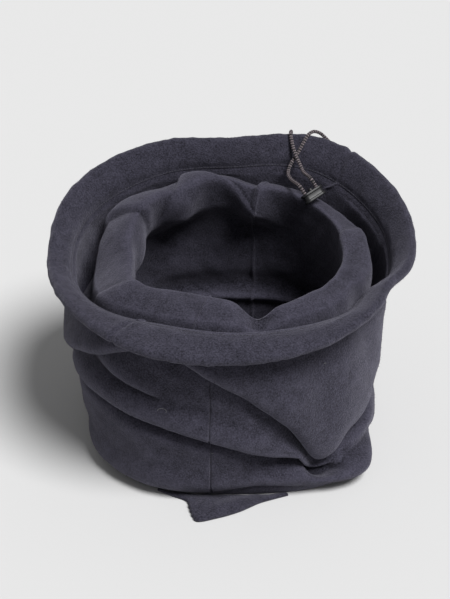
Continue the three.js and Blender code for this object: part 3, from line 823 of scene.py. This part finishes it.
def yarn_tree():
    """Round yarns along the given lines."""
    tree, given, result = new_tree("yarn_tubes", [
        ("Yarn Radius", "Float", YARN_R * MM), ("Sides", "Int", YARN_SIDES)])
    line, ring, tube = shapers(tree, "MeshToCurve", "CurvePrimitiveCircle", "CurveToMesh")
    set_inputs(tube, Fill_Caps=True)
    wire(tree, (given, "Geometry", line, "Mesh"), (given, "Yarn Radius", ring, "Radius"),
         (given, "Sides", ring, "Resolution"), (line, "Curve", tube, "Curve"),
         (ring, "Curve", tube, "Profile Curve"))
    finish_tree(tree, given, result, tube.outputs["Mesh"])
    return tree


def stitch_tree():
    """Stitches of one length set end to end along the given lines."""
    tree, given, result = new_tree("stitch_run", [
        ("Stitch Length", "Float", STITCH_LENGTH * MM), ("Pitch", "Float", STITCH_PITCH * MM),
        ("Thread Radius", "Float", THREAD_R * MM)])
    line, spots, bead, place = shapers(
        tree, "MeshToCurve", "CurveToPoints", "MeshUVSphere", "InstanceOnPoints")
    spots.mode = "LENGTH"
    set_inputs(bead, Segments=6, Rings=5, Radius=1.0)
    size = add(tree, "ShaderNodeCombineXYZ")
    link(tree, calc(tree, "MULTIPLY", given.outputs["Stitch Length"], 0.5), size.inputs["Z"])
    wire(tree, (given, "Geometry", line, "Mesh"), (line, "Curve", spots, "Curve"),
         (given, "Pitch", spots, "Length"), (given, "Thread Radius", size, "X"),
         (given, "Thread Radius", size, "Y"), (spots, "Points", place, "Points"),
         (bead, "Mesh", place, "Instance"), (spots, "Rotation", place, "Rotation"),
         (size, "Vector", place, "Scale"))
    finish_tree(tree, given, result, place.outputs["Instances"])
    return tree


def fibre_tree():
    """Loose fibres that stand out of a surface at random."""
    tree, given, result = new_tree("loose_fibres", [
        ("Density", "Float", FIBRE_DENSITY), ("Fibre Length", "Float", FIBRE_LENGTH * MM),
        ("Fibre Radius", "Float", FIBRE_R * MM), ("Lean", "Vector", FIBRE_LEAN),
        ("Lowest", "Float", FIBRE_LOWEST * MM), ("Seed", "Int", SEED)])
    spread, spot, fibre, place = shapers(
        tree, "DistributePointsOnFaces", "InputPosition", "MeshCone", "InstanceOnPoints")
    fibre.fill_type = "NONE"
    set_inputs(fibre, Vertices=3, Radius_Top=0.0)
    height = add(tree, "ShaderNodeSeparateXYZ")
    clear = add(tree, "FunctionNodeCompare")
    clear.operation = "GREATER_THAN"
    lean = add(tree, "FunctionNodeRandomValue")
    lean.data_type = "FLOAT_VECTOR"
    back = add(tree, "ShaderNodeVectorMath")
    back.operation = "SCALE"
    set_inputs(back, Scale=-1.0)
    turn = add(tree, "FunctionNodeRotateRotation")
    turn.rotation_space = "LOCAL"
    wire(tree, (spot, "Position", height, "Vector"), (height, "Z", clear, "A"), (given, "Lowest", clear, "B"),
         (clear, "Result", spread, "Selection"), (given, "Geometry", spread, "Mesh"),
         (given, "Density", spread, "Density"), (given, "Seed", spread, "Seed"),
         (given, "Fibre Length", fibre, "Depth"), (given, "Fibre Radius", fibre, "Radius Bottom"),
         (given, "Lean", back, 0), (back, "Vector", lean, 0), (given, "Lean", lean, 1),
         (given, "Seed", lean, "Seed"), (spread, "Rotation", turn, "Rotation"), (lean, 0, turn, "Rotate By"),
         (spread, "Points", place, "Points"), (fibre, "Mesh", place, "Instance"),
         (turn, "Rotation", place, "Rotation"))
    finish_tree(tree, given, result, place.outputs["Instances"])
    return tree


YARN_TREE = yarn_tree()
STITCH_TREE = stitch_tree()
FIBRE_TREE = fibre_tree()


def line_mesh(name, lines, fleck=None):
    """Polylines in millimetres as a mesh of edges."""
    counts = [len(line) for line in lines]
    starts = np.concatenate([[0], np.cumsum(counts)[:-1]])
    edges = np.concatenate([
        np.stack([s + np.arange(n - 1), s + np.arange(1, n)], -1) for s, n in zip(starts, counts)])
    values = np.zeros(sum(counts)) if fleck is None else np.concatenate(fleck)
    return new_mesh(name, np.concatenate(lines), edges.tolist(), [], fleck=values)


def grown(name, mesh, tree, material, **sizes):
    """Runs a geometry tree on a mesh and keeps its result as a plain mesh."""
    guide = put(name + "_guide", mesh)
    modifier = guide.modifiers.new("grow", "NODES")
    modifier.node_group = tree
    for item in tree.interface.items_tree:
        if item.in_out != "INPUT":
            continue
        if item.name == "Material":
            modifier[item.identifier] = material
        elif item.name.replace(" ", "_") in sizes:
            modifier[item.identifier] = sizes[item.name.replace(" ", "_")]
    made = finished_mesh(guide)
    made.name = name
    bpy.data.objects.remove(guide)
    return put(name, made)


# Cords
def lock_frame():
    turn = Matrix.Rotation(math.radians(LOCK_AZIMUTH - 90), 4, "Z")
    turn = turn @ Matrix.Rotation(math.radians(-LOCK_RISE), 4, "Y")
    turn = turn @ Matrix.Rotation(math.radians(-LOCK_ROLL), 4, "X")
    return np.array(Matrix.Translation(LOCK_CENTRE) @ turn)


LOCK_FRAME = lock_frame()


def in_lock(points):
    points = np.atleast_2d(np.asarray(points, float))
    return points @ LOCK_FRAME[:3, :3].T + LOCK_FRAME[:3, 3]


def walked(points):
    """The way along a line up to each of its points."""
    return np.concatenate([[0], np.cumsum(np.linalg.norm(np.diff(points, axis=0), axis=1))])


def even_path(points, step):
    """A smooth curve through points, at even steps along its length."""
    points = np.asarray(points, float)
    fine = along_curve(points, np.linspace(0, len(points) - 1, 60 * len(points)))
    lengths = walked(fine)
    count = int(lengths[-1] / step) + 1
    at = np.linspace(0, lengths[-1], count)
    return np.stack([np.interp(at, lengths, fine[:, k]) for k in range(3)], -1), lengths[-1]


def path_frames(path):
    """Two directions across a path that turn with it as little as they can."""
    ahead = unit(np.gradient(path, axis=0))
    u = np.zeros_like(path)
    u[0] = unit(np.cross(ahead[0], (0.3, 0.5, 0.8)))
    for i in range(1, len(path)):
        u[i] = unit(u[i - 1] - ahead[i] * (u[i - 1] @ ahead[i]))
    return u, np.cross(ahead, u)


def strand_path(rows, side):
    rows = np.array(rows)
    points = beside_hem(rows[:, 0], rows[:, 1], rows[:, 2])
    x = side * LOCK_HOLE_PITCH / 2
    top = LOCK_HEIGHT / 2
    ends = in_lock([(x, 0, top + 10), (x, 0, top + 3), (x, 0, top - LOCK_HOLE_DEPTH + HOLE_END_GAP)])
    return np.concatenate([points, ends])


def braided_cord(name, points, node):
    """Yarns that cross over and under each other round the path."""
    path, length = even_path(points, YARN_STEP)
    u, v = path_frames(path)
    s = np.arange(len(path)) * (length / (len(path) - 1))
    middle = CORD_D / 2 - YARN_R - BRAID_WAVE
    turn = 2 * math.pi / BRAID_LEAD
    over = np.cos(BRAID_CARRIERS * turn * s)
    plain = np.full(len(path), DARK_AND_SHADED_YARN)
    lines = []
    flecks = []
    for way in (1, -1):
        reach = middle + way * BRAID_WAVE * over
        for k in range(BRAID_CARRIERS):
            angle = way * turn * s + 2 * math.pi * k / BRAID_CARRIERS
            across = np.cos(angle)[:, None] * u + np.sin(angle)[:, None] * v
            lines.append(path + reach[:, None] * across)
            # pale yarns show their light colour where they lie on top; where they lie under they are painted
            # dark, as painted shade
            flecks.append(np.where(over > FLECK_FROM, FLECK, DARK_AND_SHADED_YARN) if way > 0 else plain)
    lines.append(path.copy())
    flecks.append(plain)
    piece = grown(name, line_mesh(name, lines, flecks), YARN_TREE, CORD_YARN, Yarn_Radius=YARN_R * MM)
    seat(piece, "bag", "cord_braid", node)
    return piece, path, length


cord_left, left_path, left_length = braided_cord(
    "cord_left", strand_path(STRAND_LEFT, 1), "drawcord_strand_left")
cord_right, right_path, right_length = braided_cord(
    "cord_right", strand_path(STRAND_RIGHT, -1), "drawcord_strand_right")


def hidden_cord():
    """The run inside the hem, the long way round."""
    azimuth = np.linspace(EXIT_LEFT - HIDDEN_END, EXIT_RIGHT + 360 + HIDDEN_END, HIDDEN_STEPS)
    centre = beside_hem(azimuth, -CORD_BELOW_FOLD, 0.0)
    outwards = beside_hem(azimuth, -CORD_BELOW_FOLD, 1.0) - centre
    up = beside_hem(azimuth, -CORD_BELOW_FOLD + 1.0, 0.0) - centre
    step = np.arange(HIDDEN_STEPS)[:, None]
    side = np.arange(HIDDEN_SIDES)[None]
    ripple = 1 - HIDDEN_RIPPLE * np.cos(2.1 * step + 3 * turns(HIDDEN_SIDES)[None])
    rings = tube_rings(centre, up, outwards, CORD_D / 2 * ripple[..., None], HIDDEN_SIDES)
    fleck = np.where((step + side) % 3 == 0, *HIDDEN_FLECKS)
    faces = capped_tube(HIDDEN_STEPS, HIDDEN_SIDES)
    piece = mesh_piece("cord_in_hem", rings.reshape(-1, 3), faces, CORD_YARN, fleck=fleck.ravel())
    return seat(piece, "bag", "cord_braid", "drawcord_in_casing")


hidden_cord()


# Cord lock
def rounded_outline(length, width, count):
    """Points round a flat oblong with round ends."""
    r = width / 2
    half = length / 2 - r
    angle = turns(count)
    shift = np.where(np.cos(angle) >= 0, half, -half)
    return np.stack([shift + r * np.cos(angle), r * np.sin(angle)], -1)


def lock_piece(name, rows, sides):
    """A closed piece of the lock from rows of length, width and height."""
    rings = []
    for length, width, z in rows:
        rings.append(np.column_stack([rounded_outline(length, width, sides), np.full(sides, z)]))
    return mesh_piece(name, in_lock(np.concatenate(rings)), capped_tube(len(rings), sides), LOCK_PLASTIC)


def flange_edges(low, high):
    """The rounded rim of a flange: inset and height."""
    quarter = np.linspace(0, math.pi / 2, 7)
    start = [(LOCK_EDGE * (1 - math.sin(a)), low + LOCK_EDGE * (1 - math.cos(a))) for a in quarter]
    end = [(LOCK_EDGE * (1 - math.cos(a)), high - LOCK_EDGE * (1 - math.sin(a))) for a in quarter]
    return start + end


def lock_body():
    """Two rounded flanges and a waist between them, with holes for the cords and the button."""
    top = LOCK_HEIGHT / 2
    inner = top - LOCK_FLANGE
    end = inner - LOCK_WAIST_END
    waist = [(LOCK_WAIST_INSET, -end), (LOCK_WAIST_INSET + LOCK_WAIST_BOW, 0.0), (LOCK_WAIST_INSET, end)]
    profile = flange_edges(-top, -inner) + waist + flange_edges(inner, top)
    rows = [(LOCK_LENGTH - 2 * inset, LOCK_WIDTH - 2 * inset, z) for inset, z in profile]
    body = lock_piece("lock_body", rows, LOCK_SIDES)
    for x, diameter, depth in (
            (LOCK_HOLE_PITCH / 2, LOCK_HOLE_D, LOCK_HOLE_DEPTH),
            (-LOCK_HOLE_PITCH / 2, LOCK_HOLE_D, LOCK_HOLE_DEPTH),
            (0.0, BUTTON_D + 2 * BUTTON_CLEARANCE, BUTTON_DEPTH + BUTTON_TRAVEL + HOLE_END_GAP)):
        drilled(body, *in_lock([(x, 0, top - depth), (x, 0, top + 4)]), diameter)
    smooth_by_angle(body, 35)
    return seat(body, "bag", "lock_plastic", "cord_lock_barrel")


def drilled(piece, start, end, diameter):
    """Cuts a round hole between two points in millimetres."""
    path = np.stack([start, end])
    rings = tube_rings(path, *path_frames(path), diameter / 2, DRILL_SIDES)
    drill = mesh_piece("drill", rings.reshape(-1, 3), capped_tube(2, DRILL_SIDES), piece.data.materials[0])
    cut = piece.modifiers.new("hole", "BOOLEAN")
    cut.operation = "DIFFERENCE"
    cut.solver = "EXACT"
    cut.object = drill
    made = finished_mesh(piece)
    piece.modifiers.remove(cut)
    piece.data = made
    bpy.data.objects.remove(drill)


def smooth_by_angle(piece, degrees):
    mesh = piece.data
    mesh.polygons.foreach_set("use_smooth", [True] * len(mesh.polygons))
    mesh.set_sharp_from_angle(angle=math.radians(degrees))


def lock_button():
    """A round button with a domed cap."""
    r = BUTTON_D / 2
    foot = LOCK_HEIGHT / 2 - BUTTON_DEPTH
    shoulder = LOCK_HEIGHT / 2 + BUTTON_PROUD - BUTTON_DOME
    outline = [(r - BUTTON_BEVEL, foot), (r, foot + BUTTON_BEVEL), (r, shoulder)]
    for k in range(1, 9):
        angle = math.pi / 2 * k / 8.5
        outline.append((r * math.cos(angle), shoulder + BUTTON_DOME * math.sin(angle)))
    button = lock_piece("lock_push", [(2 * x, 2 * x, z) for x, z in outline], BUTTON_SIDES)
    smooth_by_angle(button, 40)
    return seat(button, "lock_button", "lock_plastic", "cord_lock_button")


lock_shell = lock_body()
lock_push = lock_button()


# Cloth
def panel_shares():
    """Columns from seam to seam, closer together beside the seams."""
    fringe = np.array(SEAM_COLUMNS) / PANEL_WIDTH
    middle = np.linspace(fringe[-1], 1 - fringe[-1], PANEL_COLUMNS)
    return np.concatenate([fringe[:-1], middle, 1 - fringe[:-1][::-1]])


def panel(name, side, *nodes):
    """One half of the body, from the bottom seam to the hem, with a groove along its two seams."""
    shares = panel_shares()
    ghost = np.concatenate([[-shares[1]], shares, [1 + shares[1]]])
    grid, places = cloth_grid(side, ghost)
    azimuth = column_azimuth(side, ghost[None, :], places[:, None])
    if side < 0:
        grid, azimuth, shares = grid[:, ::-1], azimuth[:, ::-1], 1 - shares[::-1]
    normal = slow_normals(grid_normals(grid, BASE_ROWS), NORMAL_REACH)
    grid = grid + normal * wrinkles(grid, azimuth, places[:, None])[..., None]
    normal = grid_normals(grid, BASE_ROWS)
    # painted light: outward bends of the cloth are painted lighter, inward bends painted darker as shade; the
    # inner face takes the opposite sign
    edge = np.clip(PAINTED_BEND_LIGHTING * fold_edges(grid, normal, EDGE_REACH), -0.5, 0.5)[:, 1:-1]
    grid = grid[:, 1:-1]
    normal = normal[:, 1:-1]
    from_seam = np.minimum(shares, 1 - shares) * PANEL_WIDTH
    groove = SEAM_GROOVE * bell(from_seam / SEAM_GROOVE_WIDTH) * (places >= SEAM_GROOVE_FROM)[:, None]
    middle = grid - normal * groove[..., None]
    layers = [middle + normal * FLEECE / 2, middle - normal * FLEECE / 2]
    points = np.concatenate([layer.reshape(-1, 3) for layer in layers])
    points[:, 2] = np.maximum(points[:, 2], 0.0)
    painted_bend_light_faces = np.concatenate([edge.ravel(), -edge.ravel()])
    piece = mesh_piece(name, points, shell_faces(*grid.shape[:2]).tolist(), BODY_FLEECE, fold_edge=painted_bend_light_faces)
    return seat(piece, "bag", "fleece", *nodes)


def at_each(length, pairs):
    """Pairs of numbers, or of one number for each length, as points of one cut after another."""
    return [np.stack(np.broadcast_arrays(a, b, length)[:2], -1).astype(float) for a, b in pairs]


def hem_half(length):
    """Half the hem's cut from its root to its fold: height above the fold and half thickness."""
    return np.stack(at_each(length, [
        (HEM_ROOT + 0.5 - length, FLEECE / 2 + 0.35), (8 - length, 2.2), (11 - length, 3.7),
        (15 - length, HEM_PUFF - 0.2), (-length / 2, HEM_PUFF + 0.5), (-HEM_PUFF, HEM_PUFF),
        (-0.3 * HEM_PUFF, 0.72 * HEM_PUFF), (0.0, 0.0)]), axis=1)


def hem():
    """The turned hem: a closed ring with a hollow channel and the two holes of the cord."""
    azimuth = np.arange(HEM_COLUMNS) * 360.0 / HEM_COLUMNS + FRONT_SEAM + TWIST
    length = hem_at(azimuth)[3]
    half = hem_half(length)
    place = np.linspace(0, half.shape[1] - 1, HEM_STEPS)
    curve = along_curve(half[:, None], np.broadcast_to(place, (HEM_COLUMNS, HEM_STEPS)))
    above, thick = curve[..., 0], np.maximum(curve[..., 1], 0.0)
    above = np.concatenate([above, above[:, -2::-1]], axis=1)
    outside = np.concatenate([-thick, thick[:, -2::-1]], axis=1)
    rings = beside_hem(azimuth[:, None], above, outside)
    rings = rings + hem_puckers(rings, azimuth[:, None], length[:, None] + above)
    channel = hem_channel(azimuth, length)
    faces = tube_faces(HEM_COLUMNS, rings.shape[1], True).tolist()
    inside = tube_faces(HEM_COLUMNS, channel.shape[1], True)[:, ::-1] + HEM_COLUMNS * rings.shape[1]
    faces += inside.tolist()
    points = np.concatenate([rings.reshape(-1, 3), channel.reshape(-1, 3)])
    piece = mesh_piece("hem_casing", points, faces, HEM_FLEECE, fold_edge=np.zeros(len(points)))
    for exit_at in (EXIT_LEFT, EXIT_RIGHT):
        start = beside_hem(exit_at, -CORD_BELOW_FOLD, 0.0)
        drilled(piece, start, beside_hem(exit_at, -CORD_BELOW_FOLD + 9, 9.0), EXIT_D)
    return seat(piece, "bag", "fleece", "drawcord_casing")


def hem_puckers(rings, azimuth, from_root):
    """Small dents and swellings of the hem, and the two seams that join its cloth."""
    lift = PUCKER * waves(rings, PUCKER_LENGTH, SEED + 2)
    lift += 0.5 * PUCKER * waves(rings, 0.5 * PUCKER_LENGTH, SEED + 3)
    for joint in HEM_JOINTS:
        d = wrap(azimuth - joint) * math.radians(HEM_REACH)
        lift += 0.5 * JOINT_DEPTH * bell((np.abs(d) - 5) / 3.5) - JOINT_DEPTH * bell(d / JOINT_WIDTH)
    outwards = unit(rings - rings.mean(axis=1, keepdims=True))
    return outwards * (lift * smooth(from_root, HEM_ROOT + 1, 14))[..., None]


def hem_channel(azimuth, length):
    """The hollow inside the hem that the cord runs through."""
    *half, tip = at_each(length, [
        (16 - length, 0.8 * CHANNEL), (-HEM_PUFF - 2, CHANNEL),
        (-FLEECE - 0.4 * CHANNEL, 0.72 * CHANNEL), (-FLEECE, 0.0)])
    cut = np.stack([h * (1, -1) for h in half] + [tip] + half[::-1], axis=1)
    return beside_hem(azimuth[:, None], cut[..., 0], cut[..., 1])


def corner():
    """The sewn corner: two layers on the floor with a round edge, thinner where they go in under the wall."""
    plan = np.array([(x, y + CENTRE_Y, 0.0) for x, y in CORNER_EDGE])
    along = np.linspace(0, 1, CORNER_COLUMNS)
    inwards = np.linspace(0, 1, CORNER_ROWS)[:, None] ** CORNER_CROWD
    edge = along_curve(plan, along * (len(plan) - 1))
    sewn = band(along, *CORNER_SEWN)
    scallop = np.abs(np.sin(math.pi * walked(edge) / SCALLOP_LENGTH))
    edge[:, 0] += SCALLOP * sewn * scallop
    azimuth = lerp(CORNER_FROM, CORNER_TO, along)
    root = around(azimuth, ring_reach("floor", azimuth) + CORNER_OFFSET, 0.0)
    width = np.linalg.norm(edge - root, axis=-1)
    free = np.minimum(CORNER_LAYERS, FLEECE + CORNER_SWELL * width)[None]
    thick = lerp(free, FLEECE, inwards ** 2)
    to_edge = np.clip(inwards * width / CORNER_ROUND, 0, 1)
    thick = thick * lerp(0.25, 1.0, np.sqrt(1 - np.square(1 - to_edge)))
    grid = edge[None] + (root - edge)[None] * inwards[..., None]
    lift = CORNER_HUMP * hump(along, 0.5, 0.25) * np.sin(math.pi * inwards)
    pucker = CORNER_PUCKER * sewn * scallop * bell(inwards * width / CORNER_PUCKER_REACH)
    pucker = pucker + CORNER_WRINKLE * waves(grid, CORNER_WRINKLE_LENGTH, SEED + 5) * to_edge
    low = np.maximum(lift + lerp(CORNER_CURL, 0.0, to_edge), 0)
    top = np.maximum(low + thick + pucker, low + CORNER_THINNEST)
    points = np.concatenate([np.dstack([grid[..., :2], z]).reshape(-1, 3) for z in (top, low)])
    faces = shell_faces(CORNER_ROWS, CORNER_COLUMNS).tolist()
    piece = mesh_piece("corner_tail", points, faces, BODY_FLEECE, fold_edge=np.zeros(len(points)))
    return seat(piece, "bag", "fleece", "bottom_corner")


def hem_stitches():
    """A row of stitches round each face of the hem, just above its root."""
    azimuth = np.linspace(0, 360, 720)
    above = HEM_STITCH - hem_at(azimuth)[3]
    lines = [beside_hem(azimuth, above, side * HEM_STITCH_OUT) for side in (-1, 1)]
    thread = grown("hem_stitches", line_mesh("hem_stitches", lines), STITCH_TREE, SEWING_THREAD)
    return seat(thread, "bag", "fleece")


def eyelets():
    """Close stitches round the two holes where the cord comes out."""
    angle = np.linspace(0, 2 * math.pi, 40)
    lines = []
    for exit_at in (EXIT_LEFT, EXIT_RIGHT):
        middle = beside_hem(exit_at, -CORD_BELOW_FOLD + HEM_PUFF, 0.0)
        reach = math.hypot(middle[0], middle[1] - CENTRE_Y)
        azimuth = exit_at + np.degrees(EYELET_R * np.cos(angle) / reach)
        above = -CORD_BELOW_FOLD + HEM_PUFF + EYELET_R * np.sin(angle)
        lines.append(beside_hem(azimuth, above, HEM_PUFF + EYELET_OUT))
    thread = grown("eyelets", line_mesh("eyelets", lines), STITCH_TREE, SEWING_THREAD,
                   Pitch=EYELET_PITCH * MM, Stitch_Length=EYELET_STITCH * MM,
                   Thread_Radius=EYELET_THREAD * MM)
    return seat(thread, "bag", "fleece")


def lint(*cloth):
    """Curled hairs that lie on the cloth."""
    points = np.array([tuple(v.co) for piece in cloth for v in piece.data.vertices]) / MM
    normals = np.array([tuple(v.normal) for piece in cloth for v in piece.data.vertices])
    lines = []
    for x, y, z, size, curled in LINT_ROWS:
        middle = np.argmin(np.linalg.norm(points - (x, y, z), axis=1))
        across = unit(np.cross(normals[middle], (0.0, 0.0, 1.0)))
        up = np.cross(normals[middle], across)
        angle = np.linspace(0, curled, LINT_STEPS)[:, None]
        reach = size * np.linspace(1, 0.75, LINT_STEPS)[:, None]
        curl = points[middle] + reach * (1.2 * across * np.cos(angle) - 0.7 * up * np.sin(angle))
        below = [np.argmin(np.linalg.norm(points - p, axis=1)) for p in curl]
        off = ((curl - points[below]) * normals[below]).sum(-1, keepdims=True)
        lines.append(curl + normals[below] * (LINT_R - off))
    hairs = grown("lint", line_mesh("lint", lines), YARN_TREE, LINT_HAIR, Yarn_Radius=LINT_R * MM)
    return seat(hairs, "bag", "fleece")


def fuzz(name, piece, material, seed):
    """Fibres on both faces of a piece of cloth."""
    fibres = grown(name, piece.data.copy(), FIBRE_TREE, material, Seed=seed)
    return seat(fibres, "bag", "fleece")


panel_left = panel("panel_left", -1, "body_panel_left", "base_left")
panel_right = panel("panel_right", 1, "body_panel_right", "base_right")
hem_casing = hem()
corner_tail = corner()
hem_stitches()
eyelets()
lint(panel_left, panel_right, hem_casing)
fuzz("fuzz_left", panel_left, BODY_FLEECE, SEED)
fuzz("fuzz_right", panel_right, BODY_FLEECE, SEED + 1)
fuzz("fuzz_hem", hem_casing, HEM_FLEECE, SEED + 2)
fuzz("fuzz_corner", corner_tail, BODY_FLEECE, SEED + 3)


# Stage
def studio():
    """A plain floor, a pale sky and one soft sun."""
    reach = FLOOR_REACH
    mesh = bpy.data.meshes.new("floor")
    mesh.from_pydata([(-reach, -reach, 0), (reach, -reach, 0), (reach, reach, 0), (-reach, reach, 0)], [],
                     [(0, 1, 2, 3)])
    material, _, shader = new_material("floor_paper")
    set_inputs(shader, Base_Color=(FLOOR_GREY, FLOOR_GREY, FLOOR_GREY, 1), Roughness=0.9)
    mesh.materials.append(material)
    put("floor", mesh)
    world = bpy.data.worlds.new("studio")
    world.use_nodes = True
    set_inputs(world.node_tree.nodes["Background"], Color=(1, 1, 1, 1), Strength=WORLD_STRENGTH)
    bpy.context.scene.world = world
    bpy.context.scene.view_settings.view_transform = "Standard"
    lamp = bpy.data.lights.new("key", "SUN")
    lamp.energy = SUN_STRENGTH
    lamp.angle = math.radians(SUN_ANGLE)
    put("key", lamp).rotation_euler = (-Vector(SUN_FROM)).to_track_quat("-Z", "Y").to_euler()


def picture_camera():
    lens = bpy.data.cameras.new("camera")
    lens.sensor_fit = "VERTICAL"
    lens.sensor_height = SENSOR
    lens.lens = VIEW_FOCAL * SENSOR / PICTURE_HEIGHT
    lens.shift_x = VIEW_SHIFT[0] / PICTURE_HEIGHT
    lens.shift_y = VIEW_SHIFT[1] / PICTURE_HEIGHT
    camera = put("camera", lens)
    rise = math.radians(VIEW_RISE)
    target = Vector(VIEW_TARGET) * MM
    back = Vector((0, -math.cos(rise), math.sin(rise)))
    camera.location = target + back * VIEW_DISTANCE * MM
    camera.rotation_euler = (-back).to_track_quat("-Z", "Y").to_euler()
    bpy.context.scene.camera = camera


studio()
picture_camera()
